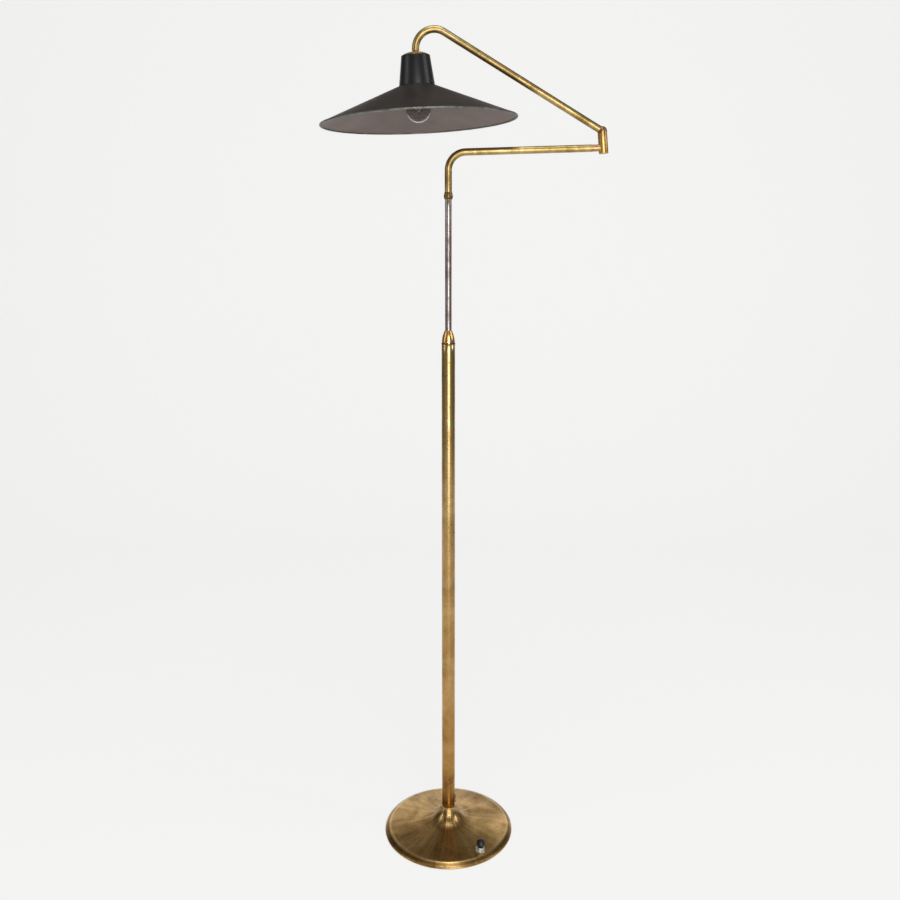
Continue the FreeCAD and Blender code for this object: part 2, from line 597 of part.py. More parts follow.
node(FLOOR.seat(turned("cap", [
    ("bush_neck_radius + fit_clearance", "0"), ("cap_radius", "0"), ("cap_top_radius", "cap_height",
                                                                     "cap_ogive_radius", -1),
    ("slider_radius + running_gap", "cap_height"), ("slider_radius + running_gap", cap_recess),
    ("bush_neck_radius + fit_clearance", cap_recess)]), "cap_foot"), "cap_nut")
node(FLOOR.seat(ring("slider", "slider_radius", "slider_bore", "slider_length"), "slider_foot"),
     "inner_tube")
node(FLOOR.seat(ring("stop", "stem_bore - stop_play", slider_hole, "stop_height"), "slider_foot"),
     "stop_bush")

# --------------------------------------------------------------------------- swivel and lower arm
node(FLOOR.seat(turned("swivel_pin_form", [
    ("pin_bore", "0"), ("slider_bore - fit_clearance", "0"),
    ("slider_bore - fit_clearance", "swivel_pin_depth"),
    ("arm_bore - fit_clearance", "swivel_pin_depth"),
    ("arm_bore - fit_clearance", "swivel_pin_depth + swivel_pin_height"),
    ("pin_bore", "swivel_pin_depth + swivel_pin_height")]), "slider_top - swivel_pin_depth"), "swivel_pin")
node(FLOOR.seat(ring("swivel_washer_form", "slider_radius", "arm_bore", "swivel_washer_thickness"),
                "slider_top"), "swivel_washer")
ferrule_form = FLOOR.seat(turned("ferrule_form", [
    ("arm_bore", "0"), ("slider_radius + 2 * running_gap", "0"), ("ferrule_radius", "0.3 * ferrule_height"),
    ("ferrule_radius", "0.4 * ferrule_height"),
    ("arm_radius + 2 * running_gap", "ferrule_height"), ("arm_radius + fit_clearance", "ferrule_height"),
    ("arm_radius + fit_clearance", "ferrule_seat"), ("arm_bore", "ferrule_seat")]), "ferrule_foot")
grub_height = "ferrule_foot + 0.58 * ferrule_height"
grub_hole = point_along(rod("grub_hole", "grub_radius + fit_clearance", "ferrule_radius"),
                        ("0", "arm_radius", grub_height), (0, 1, 0))
node(cut("ferrule", ferrule_form, grub_hole), "arm_ferrule")
node(point_along(rod("grub", "grub_radius", "grub_length"),
                 ("0", "arm_radius", grub_height), (0, 1, 0)),
     "ferrule_screw")
node(FLOOR.seat(bent_tube("lower_arm", "(lower_arm_upright)", "lower_bend_radius",
                          "lower_arm_rise", "lower_arm_straight"), "lower_arm_foot"), "lower_arm_tube")

# --------------------------------------------------------------------------- elbow
rise = math.radians(value("lower_arm_rise"))
towards_stem = (-math.cos(rise), 0, -math.sin(rise))
elbow_origin = ("elbow_reach", "0", "elbow_height")
sleeve_length = "sleeve_top + sleeve_drop"
sleeve = ELBOW.seat(rod("sleeve", "sleeve_radius", sleeve_length), "-sleeve_drop")
stub = point_along(rod("stub", "stub_radius", "stub_length"), elbow_origin, towards_stem)
spigot = point_along(rod("spigot", "arm_bore - fit_clearance", "stub_length + spigot_length"),
                     elbow_origin, towards_stem)
sleeve_way = point_along(rod("sleeve_way", "nipple_bore", "2 * stub_length"), elbow_origin, towards_stem)
pivot_way = ELBOW.seat(rod("pivot_way", "pivot_radius + fit_clearance", sleeve_length), "-sleeve_drop")
nut_way = ELBOW.seat(rod("nut_way", "pivot_nut_radius + running_gap", "sleeve_drop + pivot_nut_pocket"),
                     "-sleeve_drop")
node(cut("elbow_sleeve_form", fuse("sleeve_blank", sleeve, stub, spigot), sleeve_way, pivot_way, nut_way),
     "elbow_sleeve")
cap_round = "0.5 * elbow_cap_thickness"
cap_plug = "2.5"
node(ELBOW.seat(turned("elbow_cap_form", [
    ("0", "0"), (f"sleeve_radius - {cap_round}", "0"), ("sleeve_radius", cap_round, cap_round, -1),
    ("sleeve_radius", "elbow_cap_thickness"), ("pivot_nut_radius", "elbow_cap_thickness"),
    ("pivot_nut_radius", f"elbow_cap_thickness + {cap_plug}"),
    ("0", f"elbow_cap_thickness + {cap_plug}")]), "-sleeve_drop - elbow_cap_thickness"), "elbow_cap")
pin_foot = "pivot_nut_pocket - running_gap - pivot_nut_height"
pin_reach = f"knuckle_centre - ({pin_foot})"
node(ELBOW.seat(ring("pivot_pin_form", "pivot_radius", "pin_bore", pin_reach), pin_foot), "pivot_pin")
node(ELBOW.seat(ring("pivot_nut_form", "pivot_nut_radius", "pivot_radius + fit_clearance",
                     "pivot_nut_height"), pin_foot), "pivot_nut")
node(ELBOW.seat(ring("pivot_washer_form", "sleeve_radius", "pivot_radius + fit_clearance",
                     "pivot_washer_thickness"), "washer_foot"), "pivot_washer")
knuckle_skirt = "(knuckle_centre - knuckle_foot)"
knuckle_form = ELBOW.seat(turned("knuckle_form", [
    ("0", "0"), ("sleeve_radius", "0"), ("sleeve_radius", knuckle_skirt),
    ("0", f"{knuckle_skirt} + sleeve_radius", "sleeve_radius", -1)]), "knuckle_foot")
drop = math.radians(value("upper_arm_drop"))
up_the_arm = (-math.cos(drop), 0, math.sin(drop))
knuckle_point = ("knuckle_x", "0", "knuckle_z")
arm_socket = point_along(rod("arm_socket", "arm_radius + fit_clearance", "2 * sleeve_radius"),
                         ("knuckle_x - (upper_socket - fit_clearance) * cos(upper_arm_drop)", "0",
                          "knuckle_z + (upper_socket - fit_clearance) * sin(upper_arm_drop)"), up_the_arm)
wire_way = point_along(rod("wire_way", "pin_bore", "2 * sleeve_radius"), knuckle_point, up_the_arm)
pin_seat = ELBOW.seat(rod("pin_seat", "pivot_radius + fit_clearance",
                          f"{knuckle_skirt} + fit_clearance"), "knuckle_foot")
node(cut("knuckle", knuckle_form, pin_seat, wire_way, arm_socket), "elbow_knuckle")
hook = Frame(("hook_x", "0", "hook_z"))
node(hook.seat(bent_tube("upper_arm", "upper_arm_end", "upper_bend_radius", "-upper_arm_drop",
                         "upper_arm_straight")), "upper_arm_tube")

# --------------------------------------------------------------------------- shade joint
collar_groove = "0.4"
node(BALL.seat(turned("swivel_collar_form", [
    ("ball_neck_radius + fit_clearance", "0"), ("collar_radius", "0"),
    ("collar_radius", "0.3 * collar_height"), (f"collar_radius - {collar_groove}", "0.45 * collar_height"),
    ("collar_radius", "0.6 * collar_height"), ("collar_radius", "collar_height - running_gap"),
    ("ball_neck_radius + fit_clearance", "collar_height - running_gap")]), "collar_gap"), "swivel_collar")
ball = doc.addObject("Part::Sphere", "ball")
ball.setExpression("Radius", cells("ball_radius"))
BALL.seat(ball)
ball_neck = BALL.seat(rod("ball_neck", "ball_neck_radius", "collar_gap + collar_height"))
ball_tail = BALL.seat(rod("ball_tail", "arm_bore - fit_clearance", "1.2"),
                      "collar_gap + collar_height + running_gap")
ball_link = BALL.seat(rod("ball_link", "ball_neck_radius", "collar_height + 5"), "collar_gap")
ball_way = BALL.seat(rod("ball_way", "pin_bore", "6 * ball_radius"), "-3 * ball_radius")
ball_blank = fuse("ball_blank", ball, ball_neck, ball_link, ball_tail)
node(cut("ball_stud_form", ball_blank, ball_way), "ball_stud")

socket_sphere = "(ball_radius + fit_clearance)"
dome_ring_radius = "seat_radius + fit_clearance"
ring_drop = "(neck_wall - fit_clearance)"
dome_form = HEAD.seat(turned("dome_form", [
    (dome_ring_radius, "0"), (f"{dome_ring_radius} + dome_ring_wall", "0"),
    (f"{dome_ring_radius} + dome_ring_wall", f"{ring_drop} + 0.5 * dome_height"),
    ("dome_radius - 2 * dome_wall", ring_drop), ("dome_radius", ring_drop),
    ("dome_mouth_radius", f"{ring_drop} + dome_height", "dome_bulge", -1),
    ("dome_mouth_radius - 0.5", f"{ring_drop} + dome_height - dome_wall"),
    (dome_ring_radius, f"{ring_drop} + 0.5 * dome_height")]), f"dome_foot - {ring_drop}")
dome_socket = doc.addObject("Part::Sphere", "dome_socket")
dome_socket.setExpression("Radius", cells(socket_sphere))
HEAD.seat(dome_socket)
node(cut("dome", dome_form, dome_socket), "shade_cap")
seat_form = HEAD.seat(turned("seat_form", [
    ("nipple_radius + fit_clearance", "0"), ("seat_radius", "0"),
    ("seat_radius", "seat_depth + neck_plate_foot - seat_flange_thickness"),
    ("seat_flange_radius", "seat_depth + neck_plate_foot - seat_flange_thickness"),
    ("seat_flange_radius", "seat_depth + neck_plate_foot"),
    ("seat_radius", "seat_depth + neck_plate_foot"), ("seat_radius", "seat_depth + dome_foot"),
    ("nipple_radius + fit_clearance", "seat_depth + dome_foot")]), "-seat_depth")
seat_sphere = doc.addObject("Part::Sphere", "seat_sphere")
seat_sphere.setExpression("Radius", cells(socket_sphere))
HEAD.seat(seat_sphere)
node(cut("ball_seat_form", seat_form, seat_sphere), "ball_seat")

# --------------------------------------------------------------------------- neck and lampholder
plate_hole = f"{dome_ring_radius} + dome_ring_wall + running_gap"
neck_shell = HEAD.seat(turned("neck_shell", [
    ("neck_radius - neck_wall", "0"), ("neck_radius", "0"), ("neck_top_radius", "neck_height"),
    (plate_hole, "neck_height"), (plate_hole, "neck_height - neck_wall"),
    ("neck_top_radius - neck_wall", "neck_height - neck_wall")]), "-neck_foot_drop")
screw_height = "-neck_foot_drop + shade_collar_height / 2"


def round_the_neck(name, radius, length, start):
    """One cylinder for each screw, lying across the neck's wall."""
    pieces = []
    for index in range(int(value("shade_screw_count"))):
        azimuth = f"(shade_screw_azimuth + {index} * 360 / shade_screw_count)"
        turn = math.radians(value(azimuth))
        lean = math.radians(value("head_lean"))
        across = Vector(math.cos(turn) * math.cos(lean), math.sin(turn), math.cos(turn) * math.sin(lean))
        places = (f"hook_x + ({start}) * cos{azimuth} * cos(head_lean) - ({screw_height}) * sin(head_lean)",
                  f"({start}) * sin{azimuth}",
                  f"ball_height + ({start}) * cos{azimuth} * sin(head_lean)"
                  f" + ({screw_height}) * cos(head_lean)")
        pieces.append(point_along(rod(f"{name}_{index}", radius, length), places, tuple(across)))
    return pieces


screw_start = "neck_radius - 3 * neck_wall - 1"
screw_length = "3 * neck_wall + 1"
screw_hole_radius = "shade_screw_radius + fit_clearance"
neck_holes = round_the_neck("neck_hole", screw_hole_radius, f"2 * ({screw_length})", screw_start)
node(cut("neck", neck_shell, *neck_holes), "neck_housing")
screw_parts = (round_the_neck("screw_shank", "shade_screw_radius", f"{screw_length} + 0.5", screw_start)
               + round_the_neck("screw_head", "shade_screw_head", "1.4", "neck_radius - 0.1"))
node(fuse("screws", *screw_parts), "shade_screws")

nipple_top = "ball_radius + 1"
node(HEAD.seat(ring("head_nipple_form", "nipple_radius", "nipple_bore", "head_nipple_length"),
               f"-({nipple_top}) - head_nipple_length"), "holder_nipple")
node(HEAD.seat(turned("holder_cap", [
    ("holder_radius - holder_wall", "0"), ("holder_radius", "0"),
    ("holder_radius", "0.5 * holder_cap_height"),
    ("0.6 * holder_radius", "holder_cap_height"), ("nipple_radius + fit_clearance", "holder_cap_height"),
    ("nipple_radius + fit_clearance", "0.6 * holder_cap_height"),
    ("holder_radius - holder_wall", "0.3 * holder_cap_height")]), "-holder_body_top"), "lampholder_cap")
ledge_radius = "thread_shell_radius - thread_shell_wall"
block_foot = "(lamp_cap_top - running_gap)"
node(HEAD.seat(ring("holder_body", "holder_radius", "holder_radius - holder_wall", "holder_body_height"),
               "-holder_foot"), "lampholder_body")
node(HEAD.seat(ring("holder_ring", "holder_ring_radius", "holder_radius + fit_clearance",
                    "holder_ring_height"), "-holder_foot"), "lampholder_ring")
node(HEAD.seat(ring("block", "holder_radius - holder_wall - fit_clearance", "0", "contact_block_height"),
               f"-{block_foot}"), "contact_block")
sleeve_foot = "(holder_foot - fit_clearance)"
node(HEAD.seat(turned("thread_sleeve", [
    (ledge_radius, "0"), ("holder_radius - holder_wall - fit_clearance", "0"),
    ("holder_radius - holder_wall - fit_clearance", "2"), ("thread_shell_radius", "2"),
    ("thread_shell_radius", f"{sleeve_foot} - {block_foot}"),
    (ledge_radius, f"{sleeve_foot} - {block_foot}")]),
    f"-{sleeve_foot}"), "thread_shell")

# --------------------------------------------------------------------------- shade
collar_top_radius = "shade_collar_radius"
collar_foot_radius = "shade_collar_radius + (shade_collar_height - running_gap) * neck_taper"
shade_form = HEAD.seat(turned("shade_form", [
    ("shade_radius", "0"), ("shade_radius", "shade_upright_wall"),
    ("neck_radius + shade_wall", "cone_drop"), (collar_foot_radius, "cone_drop"),
    (collar_top_radius, "cone_drop + shade_collar_height"),
    (f"{collar_top_radius} - shade_wall", "cone_drop + shade_collar_height"),
    (f"{collar_foot_radius} - shade_wall", "cone_drop - shade_wall"),
    ("neck_radius + shade_wall", "cone_drop - shade_upright_wall")]), "-shade_rim_drop")
shade_bead = doc.addObject("Part::Torus", "shade_bead")
shade_bead.setExpression("Radius1", cells("shade_radius"))
shade_bead.setExpression("Radius2", cells("shade_bead_radius"))
HEAD.seat(shade_bead, "-shade_rim_drop")
screw_ways = round_the_neck("screw_way", screw_hole_radius, f"2 * ({screw_length})", screw_start)
node(cut("shade_cut", fuse("shade_blank", shade_form, shade_bead), *screw_ways), "shade")

# --------------------------------------------------------------------------- lamp
glass_run = "bulb_drop - lamp_cap_foot + 6"
shoulder = "sqrt(bulb_radius ^ 2 - glass_neck_radius ^ 2)"
inner_neck = "(glass_neck_radius - bulb_wall)"
inner_shoulder = f"sqrt((bulb_radius - bulb_wall) ^ 2 - {inner_neck} ^ 2)"
node(HEAD.seat(turned("glass", [
    ("0", "0"), ("bulb_radius", "bulb_radius", "bulb_radius", -1),
    ("glass_neck_radius", f"bulb_radius + {shoulder}", "bulb_radius", -1),
    ("glass_neck_radius", glass_run), (inner_neck, glass_run),
    (inner_neck, f"bulb_radius + {inner_shoulder}"),
    ("bulb_radius - bulb_wall", "bulb_radius", "bulb_radius - bulb_wall", 1),
    ("0", "bulb_wall", "bulb_radius - bulb_wall", 1)]), "-bulb_drop"), "bulb_glass")
tip_radius = "4"
cap_shoulder = "lamp_cap_height - 5"
node(HEAD.seat(turned("lamp_cap", [
    ("glass_neck_radius + fit_clearance", "0"), ("lamp_cap_radius", "0"), ("lamp_cap_radius", cap_shoulder),
    (tip_radius, "lamp_cap_height - 1.5"), (f"{tip_radius} - 1", "lamp_cap_height"),
    ("0", "lamp_cap_height"),
    ("0", "lamp_cap_height - 3"), ("glass_neck_radius + fit_clearance", f"{cap_shoulder} - 1")]),
    "-lamp_cap_foot"), "bulb_cap")
stem_glass_height = "bulb_drop - lamp_cap_foot - bulb_radius"
stem_glass_top = f"{stem_glass_height} + 4"
node(HEAD.seat(turned("glass_stem", [
    ("0", "0"), ("2", "0"), ("3", stem_glass_height), (f"{inner_neck} - fit_clearance", stem_glass_top),
    ("0", stem_glass_top)]), "-bulb_centre_drop + 0.5"), "bulb_stem")
filament = doc.addObject("Part::Torus", "filament")
filament.setExpression("Radius1", cells("filament_radius"))
filament.setExpression("Radius2", cells("filament_wire"))
HEAD.seat(filament, "-bulb_centre_drop - 3")
spokes = []
for index in range(3):
    turn = 2 * math.pi * index / 3
    spokes.append(point_along(rod(f"spoke_{index}", "filament_wire / 2", "filament_radius"),
                              ("hook_x + (bulb_centre_drop + 3) * sin(head_lean)", "0",
                               "ball_height - (bulb_centre_drop + 3) * cos(head_lean)"),
                              (math.cos(turn), math.sin(turn), 0)))
hub = HEAD.seat(rod("hub", "2 * filament_wire", "3.5"), "-bulb_centre_drop - 3")
node(fuse("filament_form", filament, hub, *spokes), "bulb_filament")

# --------------------------------------------------------------------------- check and write
doc.recompute()
faults = [item.Name for item in doc.Objects if "Invalid" in item.State or "Error" in item.State]
for piece in NODES:
    if piece.Shape.isNull() or not piece.Shape.isValid() or not piece.Shape.Solids:
        faults.append(piece.Label + " has no valid solid")
if faults:
    raise RuntimeError("not built: " + ", ".join(faults))
os.makedirs("parts", exist_ok=True)
for piece in NODES:
    piece.Shape.exportStep(f"parts/{piece.Label}.step")
    box = piece.Shape.BoundBox
    print(f"{piece.Label:18s} {len(piece.Shape.Solids)} solid(s) {piece.Shape.Volume:11.1f} mm3 "
          f"X {box.XMin:7.1f}..{box.XMax:7.1f} Y {box.YMin:7.1f}..{box.YMax:7.1f} "
          f"Z {box.ZMin:7.1f}..{box.ZMax:7.1f}")
print(len(NODES), "nodes")
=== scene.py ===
"""Looks of a bridge floor lamp in aged brass with a dark metal shade.

All sizes are in millimetres in the classes below and turned to metres where a mesh is made.
+Z is up along the stem, +X points from the stem to the elbow, and the camera looks along +Y.
"""

import logging
import math
from dataclasses import dataclass
from enum import Enum
from typing import Sequence

import bmesh
import bpy
import numpy as np
from mathutils import Matrix, Vector


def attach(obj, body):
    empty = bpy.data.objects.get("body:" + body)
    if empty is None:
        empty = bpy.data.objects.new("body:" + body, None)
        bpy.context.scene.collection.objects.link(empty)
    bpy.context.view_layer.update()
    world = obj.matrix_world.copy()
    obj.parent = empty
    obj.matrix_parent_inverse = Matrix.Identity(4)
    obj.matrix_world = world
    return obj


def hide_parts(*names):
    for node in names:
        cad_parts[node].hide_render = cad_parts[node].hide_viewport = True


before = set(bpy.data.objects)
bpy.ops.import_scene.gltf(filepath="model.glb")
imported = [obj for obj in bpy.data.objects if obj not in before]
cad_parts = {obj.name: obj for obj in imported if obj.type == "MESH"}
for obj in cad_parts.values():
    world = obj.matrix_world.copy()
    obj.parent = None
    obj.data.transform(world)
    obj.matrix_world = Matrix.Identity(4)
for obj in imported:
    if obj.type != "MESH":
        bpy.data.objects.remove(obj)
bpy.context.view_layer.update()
LOG = logging.getLogger("floor_lamp")
MM = 0.001
Corner = tuple[float, float, float]


# --------------------------------------------------------------------------- colour and nodes
def linear(code: str) -> tuple[float, float, float, float]:
    """Turn an sRGB hex colour to linear RGBA.

    Args:
        code: six hex digits, such as "a08040".

    Returns:
        The linear colour with alpha 1.
    """
    parts = [int(code[i:i + 2], 16) / 255 for i in (0, 2, 4)]
    return (*[c / 12.92 if c <= 0.04045 else ((c + 0.055) / 1.055) ** 2.4 for c in parts], 1.0)


class Mix(Enum):
    """How two colours or values are put together."""

    BLEND = "MIX"
    DARKEN = "MULTIPLY"


class Recipe:
    """A material's node tree, written one node at a time."""

    def __init__(self, name: str) -> None:
        """Start an empty material.

        Args:
            name: the material's name.
        """
        self.material = bpy.data.materials.new(name)
        self.material.use_nodes = True
        self.tree = self.material.node_tree
        self.tree.nodes.clear()
        self.place = self.add("ShaderNodeTexCoord").outputs["Object"]

    def add(self, kind: str, inputs: dict | None = None, **settings) -> bpy.types.Node:
        """Add a node.

        Args:
            kind: the node's type name.
            inputs: socket name or number to a value, or to an output socket to be linked.
            settings: attributes of the node.

        Returns:
            The node.
        """
        made = self.tree.nodes.new(kind)
        for key, setting in settings.items():
            setattr(made, key, setting)
        for key, source in (inputs or {}).items():
            if isinstance(source, bpy.types.NodeSocket):
                self.tree.links.new(source, made.inputs[key])
            else:
                made.inputs[key].default_value = source
        return made

    def stretched(self, vector: bpy.types.NodeSocket, scale: Sequence[float],
                  turn: Sequence[float] = (0, 0, 0)) -> bpy.types.NodeSocket:
        """Coordinates scaled per axis.

        Args:
            vector: the coordinates.
            scale: the factor on each axis.
            turn: the angles in radians.

        Returns:
            The vector output.
        """
        return self.add("ShaderNodeMapping", {"Vector": vector, "Scale": scale,
                                              "Rotation": turn}).outputs["Vector"]

    def noise(self, vector: bpy.types.NodeSocket, scale: float, detail: float = 4,
              rough: float = 0.55, bend: float = 0) -> bpy.types.NodeSocket:
        """Noise from 0 to 1 on the given vector."""
        made = self.add("ShaderNodeTexNoise", {"Vector": vector, "Scale": scale, "Detail": detail,
                                               "Roughness": rough, "Distortion": bend})
        return made.outputs["Fac"]

    def ramp(self, source: bpy.types.NodeSocket,
             stops: Sequence[tuple[float, str]]) -> bpy.types.NodeSocket:
        """Colours over 0 to 1 of a value.

        Args:
            source: the value.
            stops: places from 0 to 1 with hex colours.

        Returns:
            The colour output.
        """
        made = self.add("ShaderNodeValToRGB", {"Fac": source})
        elements = made.color_ramp.elements
        while len(elements) < len(stops):
            elements.new(0.5)
        for element, (place, code) in zip(elements, stops):
            element.position = place
            element.color = linear(code)
        return made.outputs["Color"]

    def step(self, source: bpy.types.NodeSocket, low: float, high: float,
             start: float = 0.0, end: float = 1.0) -> bpy.types.NodeSocket:
        """A value taken from low..high to start..end, held at the ends."""
        return self.add("ShaderNodeMapRange", {"Value": source, "From Min": low, "From Max": high,
                                               "To Min": start, "To Max": end}).outputs["Result"]

    def band(self, source: bpy.types.NodeSocket, foot: float, rise: float, fall: float,
             end: float) -> bpy.types.NodeSocket:
        """1 between rise and fall, with slopes down to 0 at foot and end."""
        return self.maths("MULTIPLY", self.step(source, foot, rise), self.step(source, end, fall))

    def maths(self, operation: str, first, second=0.0) -> bpy.types.NodeSocket:
        """One arithmetic step on two values."""
        return self.add("ShaderNodeMath", {0: first, 1: second}, operation=operation).outputs[0]

    def mix(self, share, first, second, way: Mix = Mix.BLEND) -> bpy.types.NodeSocket:
        """Two colours put together by a share from 0 to 1."""
        return self.add("ShaderNodeMix", {0: share, 6: first, 7: second}, data_type="RGBA",
                        blend_type=way.value).outputs[2]

    def bump(self, height: bpy.types.NodeSocket, depth: float, strength: float = 1.0,
             under: bpy.types.NodeSocket | None = None) -> bpy.types.NodeSocket:
        """A surface relief of the given depth in metres, on top of another where one is given."""
        inputs = {"Height": height, "Distance": depth, "Strength": strength}
        if under is not None:
            inputs["Normal"] = under
        return self.add("ShaderNodeBump", inputs).outputs["Normal"]

    def finish(self, **sockets) -> bpy.types.Material:
        """Close the tree with the surface shader.

        Args:
            sockets: shader socket names with _ for a space, and their value or source.

        Returns:
            The material.
        """
        inputs = {key.replace("_", " "): source for key, source in sockets.items()}
        shader = self.add("ShaderNodeBsdfPrincipled", inputs)
        self.add("ShaderNodeOutputMaterial", {"Surface": shader.outputs[0]})
        return self.material


# --------------------------------------------------------------------------- finishes
class Lay(Enum):
    """The way a metal was polished, as the scale of its fine lines round the piece and along it."""

    ALONG = (1100.0, 16.0, 1.0)
    ROUND = (16.0, 1100.0, 1.0)
    EVEN = (420.0, 420.0, 420.0)


PAINTED_RAY_SCALE = (60.0, 7.0, 1.0)  # painted reflection rays of the spun base, bright and dark: narrow round the piece, long down it
FLARE_RISE = (0.020, 0.032)  # metres above the floor, from the cone into the trumpet, over which the painted rays grow stronger
CREASE_HIGHLIGHT_BAND = (0.0090, 0.0101, 0.0101, 0.0110)  # metres: the painted highlight line along the base's crease
BEVEL_SHADE_BAND = (0.0058, 0.0068, 0.0084, 0.0092)  # metres: the painted shade band on the bevel below it


@dataclass(frozen=True)
class AgedBrass:
    """Brass that has darkened unevenly, with spots and fine lines, and on the base painted highlights and
    painted shade in rays and bands.
    """

    name: str
    deep: str
    middle: str
    bright: str
    lay: Lay = Lay.EVEN
    roughness: float = 0.3
    cloud: float = 14.0
    spots: float = 0.5
    foot_tint: str = "ffffff"
    # strength of the painted reflection rays; above 0 it also paints the crease highlight and the bevel shade
    painted_rays: float = 0.0
    anisotropic: float = 0.0

    def material(self) -> bpy.types.Material:
        """Brass from clouds of tarnish, dark specks, fine polishing lines and small pits.

        Returns:
            The material.
        """
        r = Recipe(self.name)
        along = r.add("ShaderNodeUVMap", uv_map="lengths").outputs["UV"]
        clouds = r.noise(r.place, self.cloud, 6, 0.62, 0.6)
        tarnish = r.ramp(clouds, [(0.30, self.deep), (0.50, self.middle), (0.72, self.bright)])
        height = r.add("ShaderNodeSeparateXYZ", {"Vector": r.place}).outputs["Z"]
        # The colour is multiplied by foot_tint, fully at the floor, less with height and not at all above 0.95
        # m: darker towards the bottom.
        tinted_low = r.mix(r.step(height, 0.05, 0.95, 1.0, 0.0), tarnish,
                     r.mix(1.0, tarnish, linear(self.foot_tint), Mix.DARKEN))
        # Painted reflection: bright rays (f4d49a) are painted highlights, dark rays (3e2812) painted shade,
        # stronger up the trumpet.
        painted_rays = r.noise(r.stretched(along, PAINTED_RAY_SCALE), 1.0, 5, 0.62)
        painted_ray_strength = r.maths("MULTIPLY", r.step(height, *FLARE_RISE, 1.0, 4.0), self.painted_rays)
        with_ray_highlights = r.mix(r.maths("MULTIPLY", r.step(painted_rays, 0.50, 0.64), painted_ray_strength), tinted_low, linear("f4d49a"))
        with_painted_light = r.mix(r.maths("MULTIPLY", r.step(painted_rays, 0.48, 0.32), painted_ray_strength), with_ray_highlights, linear("3e2812"))
        if self.painted_rays > 0:
            # A painted highlight line (f0cf92) along the crease and painted shade (4a3014) on the bevel below
            # it.
            crease = r.band(height, *CREASE_HIGHLIGHT_BAND)
            bevel_shade = r.band(height, *BEVEL_SHADE_BAND)
            with_painted_light = r.mix(r.maths("MULTIPLY", crease, 0.6), with_painted_light, linear("f0cf92"))
            with_painted_light = r.mix(r.maths("MULTIPLY", bevel_shade, 0.55), with_painted_light, linear("4a3014"))
        lines = r.noise(r.stretched(along, self.lay.value), 1.0, 3, 0.6)
        brushed = r.mix(r.step(lines, 0.30, 0.55, 0.22, 0.0), with_painted_light, linear(self.deep))
        specks = r.noise(r.place, 260, 2, 0.5)
        mask = r.maths("MULTIPLY", r.step(specks, 0.62, 0.70), r.step(clouds, 0.62, 0.40))
        spotted = r.mix(r.maths("MULTIPLY", mask, self.spots), brushed, linear("2c1a0c"))
        shine = r.maths("ADD", r.step(clouds, 0.35, 0.7, self.roughness + 0.08, self.roughness - 0.04),
                        r.maths("MULTIPLY", r.maths("ADD", mask, r.step(lines, 0.3, 0.6, 0.2, 0.0)), 0.2))
        fine = r.bump(lines, 0.00002, 0.12)
        pits = r.bump(r.noise(r.place, 700, 3), 0.00003, 0.1, fine)
        sockets = {"Anisotropic": self.anisotropic}
        if self.anisotropic > 0:
            sockets["Tangent"] = r.add("ShaderNodeTangent", direction_type="UV_MAP",
                                       uv_map="lengths").outputs[0]
        return r.finish(Base_Color=spotted, Metallic=1.0, Roughness=shine, Normal=pits, **sockets)


@dataclass(frozen=True)
class Enamel:
    """Paint on metal sheet: a slightly waved skin with dust, scuffs and thin places."""

    name: str
    colour: str
    shadow: str
    wear: str
    roughness: float
    coat: float = 0.0
    dust: float = 0.2

    def material(self) -> bpy.types.Material:
        """Paint from a slow drift of tone, a fine orange peel, dust and light scuffs.

        Returns:
            The material.
        """
        r = Recipe(self.name)
        drift = r.noise(r.place, 9, 4, 0.5, 0.3)
        skin = r.mix(r.step(drift, 0.35, 0.65), linear(self.shadow), linear(self.colour))
        grains = r.noise(r.place, 340, 3, 0.65)
        dusty = r.mix(r.step(grains, 0.56, 0.78, 0.0, self.dust), skin, linear(self.wear))
        scuffs = r.noise(r.stretched(r.place, (30, 260, 120), (0.3, 0.7, 0.2)), 1.0, 2, 0.5)
        scuffed = r.mix(r.step(scuffs, 0.70, 0.80, 0.0, 0.35), dusty, linear(self.wear))
        sheen = r.maths("ADD", r.step(drift, 0.3, 0.7, self.roughness - 0.05, self.roughness + 0.06),
                        r.step(grains, 0.5, 0.75, 0.0, 0.10))
        peel = r.bump(r.noise(r.place, 620, 2, 0.4), 0.00005, 0.22)
        waves = r.bump(drift, 0.0012, 0.08, peel)
        return r.finish(Base_Color=scuffed, Roughness=sheen, Normal=waves, Coat_Weight=self.coat,
                        Coat_Roughness=0.22)


@dataclass(frozen=True)
class PlainMetal:
    """Plated or bare metal with fine tool marks and a little dulling."""

    name: str
    colour: str
    dull: str
    roughness: float

    def material(self) -> bpy.types.Material:
        """Metal from tool marks and a grey bloom.

        Returns:
            The material.
        """
        r = Recipe(self.name)
        bloom = r.noise(r.place, 90, 4, 0.6)
        marks = r.noise(r.stretched(r.place, (40, 40, 1400)), 1.0, 2)
        tone = r.mix(r.step(bloom, 0.40, 0.68), linear(self.colour), linear(self.dull))
        shine = r.maths("ADD", r.step(bloom, 0.35, 0.7, self.roughness, self.roughness + 0.14),
                        r.step(marks, 0.4, 0.7, 0.0, 0.06))
        return r.finish(Base_Color=tone, Metallic=1.0, Roughness=shine,
                        Normal=r.bump(marks, 0.00003, 0.3))


